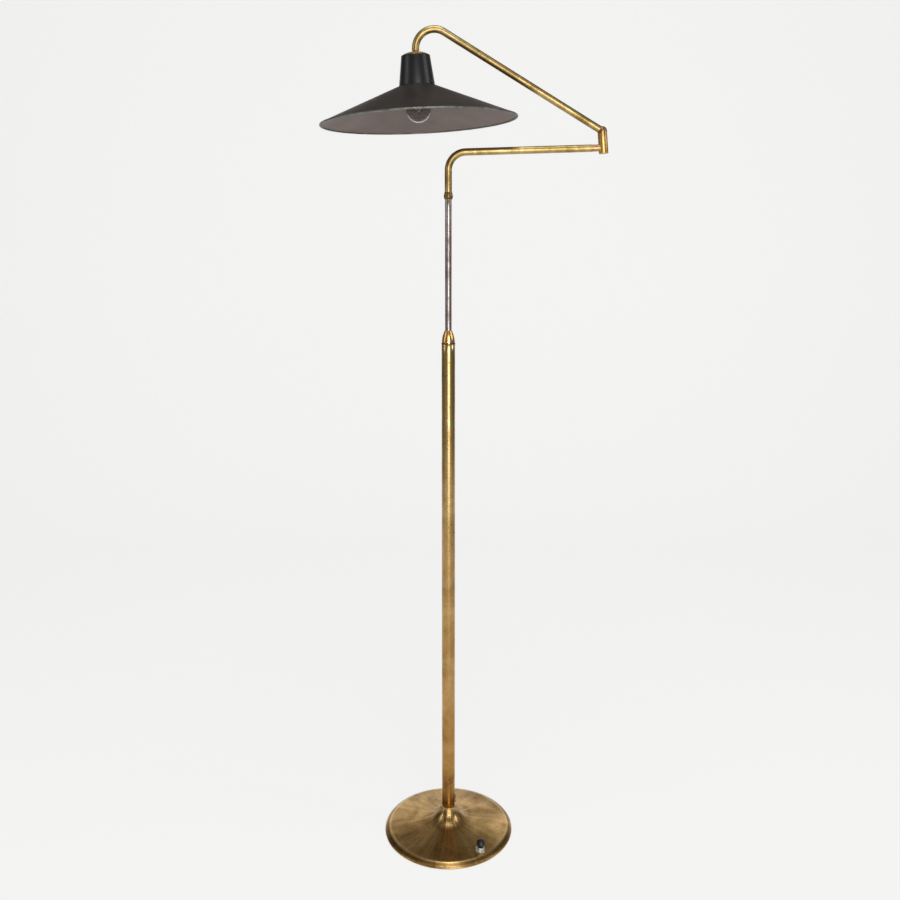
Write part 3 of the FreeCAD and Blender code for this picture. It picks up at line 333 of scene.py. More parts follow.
@dataclass(frozen=True)
class Moulding:
    """Moulded plastic or rubber with a faint grain, flow marks and dust."""

    name: str
    colour: str
    dust: str
    roughness: float
    coat: float = 0.0

    def material(self) -> bpy.types.Material:
        """Plastic from a mould's grain, soft flow marks and specks of dust.

        Returns:
            The material.
        """
        r = Recipe(self.name)
        flow = r.noise(r.place, 55, 3, 0.5, 0.8)
        grain = r.noise(r.place, 900, 2)
        tone = r.mix(r.step(flow, 0.45, 0.80, 0.0, 0.30), linear(self.colour), linear(self.dust))
        specks = r.mix(r.step(grain, 0.66, 0.74, 0.0, 0.35), tone, linear(self.dust))
        sheen = r.step(flow, 0.3, 0.8, self.roughness, self.roughness + 0.12)
        return r.finish(Base_Color=specks, Roughness=sheen, Normal=r.bump(grain, 0.00004, 0.25),
                        Coat_Weight=self.coat, Coat_Roughness=0.12)


@dataclass(frozen=True)
class CastIron:
    """Rough sand casting with a thin coat of rust-brown dust."""

    name: str

    def material(self) -> bpy.types.Material:
        """Iron from a coarse sand grain and rusty hollows.

        Returns:
            The material.
        """
        r = Recipe(self.name)
        sand = r.noise(r.place, 420, 5, 0.7)
        rust = r.noise(r.place, 26, 5, 0.6)
        tone = r.ramp(rust, [(0.35, "2b2a29"), (0.6, "3a3029"), (0.8, "5a3a26")])
        return r.finish(Base_Color=tone, Metallic=0.6, Roughness=r.step(sand, 0.2, 0.8, 0.6, 0.9),
                        Normal=r.bump(sand, 0.0003, 0.6))


@dataclass(frozen=True)
class LampGlass:
    """Thin clear glass with a faint ripple and a trace of dust."""

    name: str
    tint: str
    roughness: float = 0.03

    def material(self) -> bpy.types.Material:
        """Glass from a slow ripple in the wall and a film of dust.

        Returns:
            The material.
        """
        r = Recipe(self.name)
        film = r.noise(r.place, 160, 3, 0.6)
        ripple = r.bump(r.noise(r.place, 60, 1), 0.0004, 0.12)
        dulled = r.step(film, 0.5, 0.75, self.roughness, 0.16)
        return r.finish(Base_Color=linear(self.tint), Roughness=dulled, Normal=ripple,
                        Transmission_Weight=1.0, IOR=1.2)


# --------------------------------------------------------------------------- surfaces
def softened(corners: Sequence[Corner], closed: bool = True, steps: int = 6) -> np.ndarray:
    """Round a profile's corners: each one with a fillet becomes an arc that touches both its sides.

    The arc's centre lies on the corner's bisector, at fillet / sin(half angle) from the corner.

    Args:
        corners: (radius, height, fillet) in millimetres.
        closed: whether the last corner joins the first.
        steps: how many parts an arc has.

    Returns:
        Points of (radius, height).
    """
    places = np.array([corner[:2] for corner in corners], dtype=float)
    done = []
    for index, (_, _, fillet) in enumerate(corners):
        here = places[index]
        inside = closed or 0 < index < len(corners) - 1
        if fillet <= 0 or not inside:
            done.append(here[None, :])
            continue
        back = places[index - 1] - here
        ahead = places[(index + 1) % len(corners)] - here
        room = 0.49 * min(np.linalg.norm(back), np.linalg.norm(ahead))
        back, ahead = back / np.linalg.norm(back), ahead / np.linalg.norm(ahead)
        half = math.acos(float(np.clip(back @ ahead, -1, 1))) / 2
        radius = min(fillet, room * math.tan(half))
        centre = here + (back + ahead) / np.linalg.norm(back + ahead) * radius / math.sin(half)
        first = here + back * radius / math.tan(half) - centre
        last = here + ahead * radius / math.tan(half) - centre
        sweep = math.atan2(first[0] * last[1] - first[1] * last[0], float(first @ last))
        turn = np.linspace(0, sweep, steps + 1)
        done.append(centre + np.stack([first[0] * np.cos(turn) - first[1] * np.sin(turn),
                                       first[0] * np.sin(turn) + first[1] * np.cos(turn)], axis=1))
    return np.concatenate(done)


def arc(centre: Sequence[float], radius: float, start: float, end: float, count: int) -> list[Corner]:
    """Corners along a circle, from one angle to another in degrees."""
    turn = np.radians(np.linspace(start, end, count))
    return [(centre[0] + radius * c, centre[1] + radius * s, 0.0)
            for c, s in zip(np.cos(turn), np.sin(turn))]


def length_along(points: np.ndarray) -> np.ndarray:
    """Distance from the first point to each, along the line through them."""
    return np.concatenate([[0], np.cumsum(np.linalg.norm(np.diff(points, axis=0), axis=1))])


def grid_mesh(name: str, points: np.ndarray, across: np.ndarray, up: np.ndarray,
              round_rows: bool, round_columns: bool) -> bpy.types.Mesh:
    """Make a mesh from a grid of places, with the grid's own lengths as its UV map.

    Args:
        name: the mesh's name.
        points: places in metres, rows by columns by 3.
        across: the U of each column, with one more where the columns close.
        up: the V of each row, with one more where the rows close.
        round_rows: whether the last row joins the first.
        round_columns: whether the last column joins the first.

    Returns:
        The mesh, with doubled points merged and its faces turned outwards.
    """
    rows, columns = points.shape[:2]
    i, j = np.meshgrid(np.arange(rows if round_rows else rows - 1),
                       np.arange(columns if round_columns else columns - 1), indexing="ij")
    i, j = i.ravel(), j.ravel()
    step_i, step_j = np.array([0, 0, 1, 1]), np.array([0, 1, 1, 0])
    row, column = i[:, None] + step_i, j[:, None] + step_j
    index = (row % rows) * columns + column % columns
    mesh = bpy.data.meshes.new(name)
    mesh.vertices.add(rows * columns)
    mesh.vertices.foreach_set("co", points.reshape(-1).astype(np.float32))
    mesh.loops.add(index.size)
    mesh.loops.foreach_set("vertex_index", index.ravel().astype(np.int32))
    mesh.polygons.add(len(index))
    mesh.polygons.foreach_set("loop_start", np.arange(0, index.size, 4, dtype=np.int32))
    mesh.update(calc_edges=True)
    layer = mesh.uv_layers.new(name="lengths")
    lengths = np.stack([across[column], up[row]], axis=-1)
    layer.uv.foreach_set("vector", lengths.ravel().astype(np.float32))
    work = bmesh.new()
    work.from_mesh(mesh)
    bmesh.ops.remove_doubles(work, verts=work.verts, dist=1e-7)
    bmesh.ops.dissolve_degenerate(work, edges=work.edges, dist=1e-8)
    bmesh.ops.recalc_face_normals(work, faces=work.faces)
    work.to_mesh(mesh)
    work.free()
    mesh.shade_smooth()
    mesh.set_sharp_from_angle(angle=math.radians(38))
    return mesh


@dataclass(frozen=True)
class Seat:
    """A place for a turned piece: an origin in millimetres, and an axis that leans to a heading."""

    origin: tuple[float, float, float] = (0.0, 0.0, 0.0)
    lean: float = 0.0
    heading: float = 0.0

    def matrix(self) -> Matrix:
        """The place in metres; the axis leans towards the heading, both in degrees."""
        heading = Matrix.Rotation(math.radians(self.heading), 4, "Z")
        lean = Matrix.Rotation(math.radians(self.lean), 4, "Y")
        return Matrix.Translation(Vector(self.origin) * MM) @ heading @ lean @ heading.inverted()

    def put(self, points: np.ndarray) -> np.ndarray:
        """Points of the seat's own frame, in metres, carried to their place in the scene."""
        place = np.array(self.matrix())
        return points @ place[:3, :3].T + place[:3, 3]


FLOOR = Seat()


def turned(name: str, profile: np.ndarray, seat: Seat = FLOOR, segments: int = 128,
           closed: bool = True, ribs: int = 0, rib_depth: float = 0.0) -> bpy.types.Mesh:
    """Turn a profile about the seat's axis: place = (radius cos a, radius sin a, height).

    Args:
        name: the mesh's name.
        profile: points of (radius, height) in millimetres.
        seat: where the piece stands.
        segments: how many columns go round.
        closed: whether the profile is a closed loop.
        ribs: how many ribs go round the piece.
        rib_depth: how far the radius swells at a rib, in millimetres.

    Returns:
        The mesh.
    """
    turn = np.pi / 2 + np.linspace(0, 2 * np.pi, segments, endpoint=False)
    swell = 1 + (rib_depth / profile[:, 0].max()) * (np.cos(ribs * turn) - 1) / 2 * (ribs > 0)
    radius = profile[:, :1] * swell[None, :] * MM
    local = np.stack([radius * np.cos(turn), radius * np.sin(turn),
                      np.broadcast_to(profile[:, 1:] * MM, radius.shape)], axis=-1)
    loop = np.concatenate([profile, profile[:1]]) if closed else profile
    across = np.linspace(0, 2 * np.pi, segments + 1) * profile[:, 0].max() * MM
    return grid_mesh(name, seat.put(local), across, length_along(loop) * MM, closed, True)


def swept(name: str, line: np.ndarray, outer: float, inner: float, segments: int = 48) -> bpy.types.Mesh:
    """Carry a ring along a line in the XZ plane, out on the outside and back along the bore.

    Each ring is centre + radius (cos a N + sin a Y), with N the line's normal in its plane.

    Args:
        name: the mesh's name.
        line: centres as (x, z) in millimetres.
        outer: the outside radius in millimetres.
        inner: the bore's radius in millimetres.
        segments: how many columns go round.

    Returns:
        The mesh of a tube with closed ends.
    """
    along = np.gradient(line, axis=0)
    along /= np.linalg.norm(along, axis=1, keepdims=True)
    normal = np.stack([along[:, 1], np.zeros(len(line)), -along[:, 0]], axis=1)
    centre = np.stack([line[:, 0], np.zeros(len(line)), line[:, 1]], axis=1)
    turn = np.pi / 2 + np.linspace(0, 2 * np.pi, segments, endpoint=False)
    spokes = (np.cos(turn)[None, :, None] * normal[:, None, :]
              + np.sin(turn)[None, :, None] * np.array([0.0, 1.0, 0.0]))
    skin = centre[:, None, :] + outer * spokes
    bore = (centre[:, None, :] + inner * spokes)[::-1]
    lengths = length_along(line)
    up = np.concatenate([lengths, lengths[-1] + lengths, [2 * lengths[-1]]]) * MM
    across = np.linspace(0, 2 * np.pi, segments + 1) * outer * MM
    return grid_mesh(name, np.concatenate([skin, bore]) * MM, across, up, True, True)


def bent_line(foot: Sequence[float], upright: float, radius: float, slope: float, run: float) -> np.ndarray:
    """The line of an arm tube: up, round a bend towards +X and on at a slope.

    Args:
        foot: (x, z) of the lower end in millimetres.
        upright: length of the upright end.
        radius: the bend's radius.
        slope: the run's rise in degrees, negative where it falls.
        run: the run's length.

    Returns:
        Centres as (x, z) in millimetres.
    """
    rise = np.linspace(0, upright, 10)
    first = np.stack([np.zeros(10), rise], axis=1)
    turn = np.radians(np.linspace(180, 90 + slope, 40)[1:])
    bend = np.stack([radius + radius * np.cos(turn), upright + radius * np.sin(turn)], axis=1)
    ahead = np.array([math.cos(math.radians(slope)), math.sin(math.radians(slope))])
    steps = np.linspace(0, run, 60)[1:, None]
    return np.array(foot) + np.concatenate([first, bend, bend[-1] + steps * ahead])


# --------------------------------------------------------------------------- making pieces
class Body(Enum):
    """The moving bodies of the lamp."""

    BASE = "base"
    BUTTON = "button"
    CAP = "cap"
    SLIDER = "slider"
    LOWER_ARM = "lower_arm"
    UPPER_ARM = "upper_arm"
    SWIVEL = "swivel"
    HEAD = "head"


class Workshop:
    """Keeps the finishes, and puts pieces and CAD nodes into them."""

    def __init__(self) -> None:
        """Start with no finish made."""
        self.made: dict[str, bpy.types.Material] = {}

    def material(self, finish) -> bpy.types.Material:
        """The finish's material, made once."""
        if finish.name not in self.made:
            self.made[finish.name] = finish.material()
        return self.made[finish.name]

    def piece(self, mesh: bpy.types.Mesh, finish, body: Body, slot: str, *nodes: str) -> bpy.types.Object:
        """Set a new piece into the scene.

        Args:
            mesh: its mesh, in place.
            finish: its finish.
            body: what it moves with.
            slot: the record's material slot that it belongs to.
            nodes: the CAD nodes that it stands for.

        Returns:
            The object.
        """
        made = bpy.data.objects.new(mesh.name, mesh)
        bpy.context.scene.collection.objects.link(made)
        mesh.materials.append(self.material(finish))
        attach(made, body.value)
        if nodes:
            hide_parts(*nodes)
        LOG.info("piece %s on %s, %d faces", made.name, body.value, len(mesh.polygons))
        return made

    def dress(self, finish, *nodes: str) -> None:
        """Give CAD nodes a finish.

        Args:
            finish: the finish.
            nodes: the nodes' names.
        """
        for name in nodes:
            slots = bpy.data.objects[name].material_slots
            for place in slots:
                place.material = self.material(finish)
            LOG.info("node %s in %s", name, finish.name)


# --------------------------------------------------------------------------- the lamp's finishes
# The base's brass carries painted reflection rays, a painted highlight line at its crease and painted shade on
# its bevel.
BASE_BRASS = AgedBrass("spun_base_brass", "7a5a30", "b08c54", "dcb67c", Lay.ROUND, 0.27, 16, 0.8,
                       painted_rays=0.22, anisotropic=0.30)
# The stem's brass is tinted darker towards the bottom by its foot_tint.
STEM_BRASS = AgedBrass("stem_brass", "9a8050", "c3a772", "e3d0a0", Lay.ALONG, 0.25, 13, 0.6, "d8b88c")
RING_BRASS = AgedBrass("ring_brass", "b0925c", "d8bc88", "f2dcae", Lay.ROUND, 0.36, 60, 0.4)
CAP_BRASS = AgedBrass("cap_nut_brass", "d09a58", "edbd7c", "ffdca4", Lay.ROUND, 0.22, 60, 0.15)
ARM_BRASS = AgedBrass("arm_brass", "85703f", "b0965f", "d2b985", Lay.ALONG, 0.36, 26, 0.5)
SLEEVE_BRASS = AgedBrass("sleeve_brass", "ac8648", "cfa868", "ecc98c", Lay.ROUND, 0.32, 60, 0.3)
KNUCKLE_BRASS = AgedBrass("knuckle_brass", "86623c", "b08a60", "cdaa7c", Lay.EVEN, 0.28, 60, 0.4)
DARK_BRASS = AgedBrass("tarnished_brass", "54401f", "80653a", "a4865a", Lay.ROUND, 0.34, 70, 0.5)
INNER_BRASS = AgedBrass("inner_tube_metal", "7c6c6a", "a39793", "beb6b2", Lay.ALONG, 0.32, 30, 0.5)
GLAND_BRASS = AgedBrass("gland_brass", "9a7840", "cfae74", "ecd29c", Lay.ROUND, 0.36, 60, 0.3)
SHADE_PAINT = Enamel("shade_outside_paint", "37302e", "2a2422", "5a504b", 0.40, 0.0, 0.20)
# The lining's pale enamel is written as the grey-taupe it shows in shade: its own paint with painted shade.
LINING_IN_PAINTED_SHADE = Enamel("shade_inside_paint", "8d7f7b", "796c68", "b0a49e", 0.62, 0.0, 0.25)
RIM_METAL = PlainMetal("shade_rim_edge", "8a8d84", "64665f", 0.42)
NECK_PAINT = Enamel("neck_black_paint", "18181c", "101013", "34343a", 0.38, 0.0, 0.12)
NICKEL = PlainMetal("nickel_plate", "e0e2dc", "b8bab4", 0.42)
ZINC = PlainMetal("zinc_steel", "a9abab", "7d7f7f", 0.34)
LAMP_METAL = PlainMetal("lamp_cap_metal", "c9cbc9", "8f9190", 0.26)
TUNGSTEN = PlainMetal("filament_wire", "8a8c90", "5c5e60", 0.40)
BUTTON_BLACK = Moulding("button_plastic", "0c0c0e", "2c2c30", 0.34, 0.1)
DULL_BLACK = Moulding("black_moulding", "161618", "48484a", 0.5)
HOLDER_BLACK = Moulding("lampholder_phenolic", "17161a", "4a4648", 0.34, 0.2)
ACETAL = Moulding("natural_acetal", "d9d5c6", "b8b2a0", 0.45)
PAD_RUBBER = Moulding("pad_rubber", "1b1b1b", "454545", 0.8)
IRON = CastIron("cast_iron_weight")
CLEAR_GLASS = LampGlass("lamp_glass", "d8d4d0")


# --------------------------------------------------------------------------- sub-assemblies
@dataclass(frozen=True)
class Foot:
    """The round base: spun cover with a rolled rim, weight, pad, and foot ring."""

    crease_radius: float = 115.4
    crease_height: float = 10.2827
    rim_slope: float = 31.0
    cone_slope: float = 9.0
    roll_centre: tuple[float, float] = (122.5, 3.1)
    roll_radius: float = 2.5
    flare_centre: tuple[float, float] = (50.736, 57.651)
    flare_sweep: float = 36.669
    wall: float = 1.2
    top: float = 47.5
    hole: float = 5.3
    ring_radius: float = 15.5
    ring_height: float = 3.0

    def shell(self, offset: float) -> list[Corner]:
        """Corners of the cover's skin from the top hole down to the rim, drawn in by an offset."""
        tilt, steep = math.radians(self.cone_slope), math.radians(self.rim_slope)
        shift = offset * (1 / math.cos(steep) - 1 / math.cos(tilt)) / (math.tan(steep) - math.tan(tilt))
        sweep = self.flare_sweep + offset
        top = self.top - offset
        first = -90 - math.degrees(math.acos((self.flare_centre[1] - top) / sweep))
        crease = (self.crease_radius - shift,
                  self.crease_height + shift * math.tan(tilt) - offset / math.cos(tilt), 5.0)
        flare = arc(self.flare_centre, sweep, first, -90 - self.cone_slope, 30)
        return [(self.hole, top, 0.0), *flare, crease]

    def cover_profile(self) -> np.ndarray:
        """The cover's skin, rolled rim and underside as one loop."""
        roll = arc(self.roll_centre, self.roll_radius, 90 - self.rim_slope, -200, 22)
        return softened([*self.shell(0.0), *roll, *self.shell(self.wall)[::-1]], True, 8)

    def build(self, shop: Workshop) -> None:
        """Make the cover and foot ring, and dress the inner nodes.

        Args:
            shop: the workshop.
        """
        shop.piece(turned("base_skin", self.cover_profile(), segments=256), BASE_BRASS, Body.BASE,
                   "aged_brass", "base_cover")
        r, h, z = self.ring_radius, self.ring_height, self.top
        ring = softened([(5.3, z, 0), (r, z, 0.3), (r, z + 0.35 * h, 0.2), (r - 0.35, z + 0.45 * h, 0.2),
                         (r, z + 0.55 * h, 0.2), (r, z + h, 0.9), (5.3, z + h, 0)])
        shop.piece(turned("foot_collar", ring), RING_BRASS, Body.BASE, "aged_brass", "foot_ring")
        shop.dress(IRON, "base_weight")
        shop.dress(PAD_RUBBER, "base_pad")
        shop.dress(ZINC, "stem_plug", "base_nipple", "base_washer", "base_nut")


@dataclass(frozen=True)
class CordGland:
    """The brass gland behind the stem, where a cord would leave."""

    seat: Seat = Seat((8.9720, 60.0333, 18.9464), 9.0, 81.5)
    bore: float = 3.1
    shank: float = 4.5
    depth: float = 6.0
    flange: float = 7.0
    flange_height: float = 1.5
    radius: float = 5.8
    height: float = 15.0

    def build(self, shop: Workshop) -> None:
        """Make the gland: a flange, a slightly waisted barrel and a rounded mouth.

        Args:
            shop: the workshop.
        """
        r, f, top = self.radius, self.flange_height, self.height
        mouth = top - r + self.bore / 2
        outline = softened([(self.bore, -self.depth, 0), (self.shank, -self.depth, 0.3), (self.shank, 0, 0),
                            (self.flange, 0, 0.2), (self.flange, f, 0.5), (0.85 * r, f, 0.3),
                            (r, (f + mouth) / 2, 2.5), (r, mouth, 3.0), (0.8 * r, top - 1.1, 3.0),
                            (self.bore + 0.1, top - 0.1, 0.4), (self.bore, top - 1.0, 0.4)])
        shop.piece(turned("cord_outlet", outline, self.seat, 72), GLAND_BRASS, Body.BASE, "bright_brass",
                   "cord_gland")
        shop.dress(ZINC, "gland_nut")


@dataclass(frozen=True)
class FootSwitch:
    """The push switch on the base: nickel bush and nut, and a black domed button."""

    seat: Seat = Seat((60.0134, -84.4458, 12.1516), 9.0, -54.6)
    bush_radius: float = 7.0
    bush_top: float = 9.0
    bush_foot: float = -1.5
    nut_corner: float = 9.8
    nut_height: float = 2.4
    stem_radius: float = 4.5
    button_radius: float = 8.0
    button_foot: float = 3.6
    head_foot: float = 13.1
    head_height: float = 10.5

    def nut(self) -> bpy.types.Mesh:
        """The thin nut: a hexagon whose corners are turned down to a cone at the top."""
        turn = np.radians(np.arange(0, 360, 2.5))
        sixth = np.pi / 3
        flat = self.nut_corner * math.cos(sixth / 2) / np.cos((turn + sixth / 2) % sixth - sixth / 2)
        across, h = self.nut_corner, self.nut_height
        levels = [(7.05, 0.0), (across, 0.0), (across, h - 0.6), (across - 1.6, h), (7.05, h)]
        rows = [np.stack([np.minimum(flat, r) * np.cos(turn), np.minimum(flat, r) * np.sin(turn),
                          np.full(len(turn), z)], axis=1) for r, z in levels]
        points = self.seat.put(np.stack(rows) * MM)
        return grid_mesh("switch_hexagon", points, np.append(turn, 2 * np.pi) * across * MM,
                         np.array([0, 2.8, 4.6, 6.4, 8.6, 11.0]) * MM, True, True)

    def build(self, shop: Workshop) -> None:
        """Make the bush, nut and button.

        Args:
            shop: the workshop.
        """
        b, top = self.bush_radius, self.bush_top
        thread = [(b - 0.25 * (k % 2), 2.6 + 0.5 * k, 0.0) for k in range(5)]
        bush = softened([(4.55, self.bush_foot, 0), (b, self.bush_foot, 0), (b, 2.4, 0), *thread,
                         (b, 5.2, 0), (b, top, 1.2), (5.6, top, 0.4), (4.55, top - 0.8, 0)])
        shop.piece(turned("switch_collar", bush, self.seat, 96), NICKEL, Body.BASE, "nickel", "switch_bush")
        shop.piece(self.nut(), NICKEL, Body.BASE, "nickel", "switch_nut")
        r, low, high = self.button_radius, self.head_foot, self.head_foot + self.head_height
        drop = self.head_height / 2
        sweep = (r ** 2 + drop ** 2) / (2 * drop)
        dome = arc((0, high - sweep), sweep, math.degrees(math.acos(r / sweep)), 90, 22)
        button = softened([(0, self.button_foot, 0), (self.stem_radius, self.button_foot, 0.5),
                           (self.stem_radius, low, 0.3), (r - 0.6, low, 0.3), (r, low + 0.8, 0.6),
                           (r, dome[0][1], 0.0), *dome[1:-1], (0, high, 0)], False)
        shop.piece(turned("switch_push_button", button, self.seat, 96, closed=False), BUTTON_BLACK,
                   Body.BUTTON, "black_plastic", "switch_button")
        shop.dress(DULL_BLACK, "switch_body")


@dataclass(frozen=True)
class Stem:
    """The telescopic stem: outer tube, clamping cap and inner tube."""

    outer: float = 12.5
    bore: float = 11.0
    foot: float = 50.5
    top: float = 967.0
    cap_foot: float = 969.3
    cap_height: float = 22.7
    cap_radius: float = 12.3
    cap_top_radius: float = 7.1
    cap_sweep: float = 57.0
    slider_radius: float = 6.0
    slider_foot: float = 742.0
    slider_top: float = 1228.0

    def cap_profile(self) -> np.ndarray:
        """The cap nut's bullet form: a short cylinder, a long arc and a narrow flat lip."""
        rise = self.cap_height
        low, high = np.array([self.cap_radius, 0.0]), np.array([self.cap_top_radius, rise])
        chord = high - low
        half = np.linalg.norm(chord) / 2
        normal = np.array([-chord[1], chord[0]]) / (2 * half)
        centre = (low + high) / 2 + normal * math.sqrt(self.cap_sweep ** 2 - half ** 2)
        start, end = [math.degrees(math.atan2(p[1] - centre[1], p[0] - centre[0])) for p in (low, high)]
        skin = [(r, z + self.cap_foot, 0.0) for r, z, _ in arc(centre, self.cap_sweep, start, end, 26)]
        z = self.cap_foot
        return softened([(9.05, z, 0), (self.cap_radius - 0.5, z, 0.2), (self.cap_radius, z + 0.5, 0.3),
                         *skin[2:-1], (self.cap_top_radius, z + rise, 0.5), (6.3, z + rise, 0.3),
                         (6.3, z + 16, 0), (9.05, z + 16, 0)])

    def build(self, shop: Workshop) -> None:
        """Make the tubes, ring and cap nut.

        Args:
            shop: the workshop.
        """
        levels = np.linspace(self.foot + 0.4, self.top - 0.4, 60)
        skin = [(self.outer, z, 0.0) for z in levels]
        tube = softened([(self.bore, self.foot, 0), (self.outer - 0.3, self.foot, 0), *skin,
                         (self.outer - 0.3, self.top, 0), (self.bore, self.top, 0)])
        shop.piece(turned("stem_tube", tube, segments=96), STEM_BRASS, Body.BASE, "aged_brass", "outer_tube")
        # The seat ring's dark brass also stands for the shadow gap under the cap: a real washer with painted
        # shadow.
        washer = softened([(9.05, 967.0, 0), (12.9, 967.0, 0.4), (12.9, 969.0, 0.6), (9.05, 969.0, 0)])
        shop.piece(turned("cap_seat_ring", washer), DARK_BRASS, Body.BASE, "dark_brass", "cap_washer")
        shop.piece(turned("clamping_cap", self.cap_profile()), CAP_BRASS, Body.CAP, "bright_brass", "cap_nut")
        levels = np.linspace(self.slider_foot + 0.3, self.slider_top - 0.3, 40)
        skin = [(self.slider_radius, z, 0.0) for z in levels]
        slider = softened([(5.0, self.slider_foot, 0), (5.8, self.slider_foot, 0), *skin,
                           (5.8, self.slider_top, 0), (5.0, self.slider_top, 0)])
        shop.piece(turned("rising_tube", slider, segments=72), INNER_BRASS, Body.SLIDER, "dark_brass",
                   "inner_tube")
        shop.dress(ACETAL, "guide_bush", "friction_collet", "stop_bush", "swivel_washer")
        shop.dress(ZINC, "swivel_pin")


@dataclass(frozen=True)
class LowerArm:
    """The first arm: ferrule, bent tube and the upright elbow sleeve on its end."""

    ferrule_foot: float = 1228.9
    tube_foot: float = 1233.9
    upright: float = 47.013943
    bend: float = 32.0
    rise: float = 1.66
    run: float = 225.530241
    radius: float = 6.5
    bore: float = 5.3
    elbow: tuple[float, float, float] = (277.0, 0.0, 1320.027619)
    elbow_lean: float = 5.0
    sleeve_radius: float = 8.5
    sleeve_top: float = 23.9
    sleeve_drop: float = 8.0
    stub_radius: float = 6.1

    def elbow_seat(self) -> Seat:
        """The elbow's own axis, which leans back towards the stem."""
        return Seat(self.elbow, self.elbow_lean, 180.0)

    def build(self, shop: Workshop) -> None:
        """Make the ferrule, tube, sleeve, stub and end cap.

        Args:
            shop: the workshop.
        """
        z = self.ferrule_foot
        ferrule = softened([(5.3, z, 0), (6.6, z, 0.3), (8.4, z + 4.08, 0.5), (8.4, z + 5.44, 0.5),
                            (7.1, z + 12.6, 0.4), (6.9, z + 13.6, 0.3), (6.55, z + 13.6, 0),
                            (6.55, z + 5, 0), (5.3, z + 5, 0)])
        shop.piece(turned("arm_socket", ferrule), DARK_BRASS, Body.LOWER_ARM, "dark_brass", "arm_ferrule")
        line = bent_line((0, self.tube_foot), self.upright, self.bend, self.rise, self.run)
        shop.piece(swept("lower_arm", line, self.radius, self.bore), ARM_BRASS, Body.LOWER_ARM, "aged_brass",
                   "lower_arm_tube")
        seat, s = self.elbow_seat(), self.sleeve_radius
        sleeve = softened([(5.05, -self.sleeve_drop, 0), (s, -self.sleeve_drop, 0.3),
                           (s, self.sleeve_top - 3.2, 0.0), (s, self.sleeve_top - 2.9, 0.1),
                           (s - 0.25, self.sleeve_top - 2.6, 0.1), (s, self.sleeve_top - 2.3, 0.1),
                           (s, self.sleeve_top, 0.5), (5.05, self.sleeve_top, 0)])
        shop.piece(turned("elbow_barrel", sleeve, seat), SLEEVE_BRASS, Body.LOWER_ARM, "bright_brass",
                   "elbow_sleeve")
        tilt = math.radians(self.rise)
        ahead = np.array([math.cos(tilt), math.sin(tilt)])
        end = np.array([self.elbow[0], self.elbow[2]])
        stub = end - np.linspace(20.5, 3.0, 12)[:, None] * ahead
        shop.piece(swept("elbow_stub", stub, self.stub_radius, 3.5), KNUCKLE_BRASS, Body.LOWER_ARM,
                   "bright_brass", "elbow_sleeve")
        low = -self.sleeve_drop - 2.5
        cap = softened([(0, low, 0), (s - 1.0, low, 0.5), (s, low + 1.1, 0.9), (s, low + 2.5, 0.15),
                        (6.5, low + 2.5, 0), (6.5, low + 5, 0), (0, low + 5, 0)], False)
        shop.piece(turned("elbow_end_cap", cap, seat, closed=False), SLEEVE_BRASS, Body.LOWER_ARM,
                   "bright_brass", "elbow_cap")
        shop.dress(ZINC, "ferrule_screw")


@dataclass(frozen=True)
class UpperArm:
    """The second arm: knuckle, sloping tube and the hook that carries the shade."""

    hook: tuple[float, float] = (-57.725098, 1489.840150)
    end: float = 1.0
    bend: float = 33.0
    drop: float = 31.04
    run: float = 323.8
    radius: float = 6.5
    bore: float = 5.3
    washer_foot: float = 24.2
    knuckle_foot: float = 25.7
    knuckle_centre: float = 29.4
    knuckle_radius: float = 8.5

    def build(self, shop: Workshop) -> None:
        """Make the washer, knuckle and tube.

        Args:
            shop: the workshop.
        """
        seat = LowerArm().elbow_seat()
        k = self.knuckle_radius
        z = self.washer_foot
        washer = softened([(5.05, z, 0), (k, z, 0.3), (k, z + 1.5, 0.3), (5.05, z + 1.5, 0)])
        shop.piece(turned("elbow_ring", washer, seat), CAP_BRASS, Body.UPPER_ARM, "bright_brass",
                   "pivot_washer")
        ball = arc((0, self.knuckle_centre), k, 0, 89, 24)
        knuckle = softened([(5.05, self.knuckle_foot, 0), (k, self.knuckle_foot, 0.4), *ball,
                            (0, self.knuckle_centre + k, 0), (0, self.knuckle_centre, 0),
                            (5.05, self.knuckle_centre, 0)])
        shop.piece(turned("knuckle_dome", knuckle, seat), KNUCKLE_BRASS, Body.UPPER_ARM,
                   "aged_brass", "elbow_knuckle")
        line = bent_line(self.hook, self.end, self.bend, -self.drop, self.run)
        shop.piece(swept("upper_arm", line, self.radius, self.bore), ARM_BRASS, Body.UPPER_ARM, "aged_brass",
                   "upper_arm_tube")
        shop.dress(ZINC, "pivot_pin", "pivot_nut")


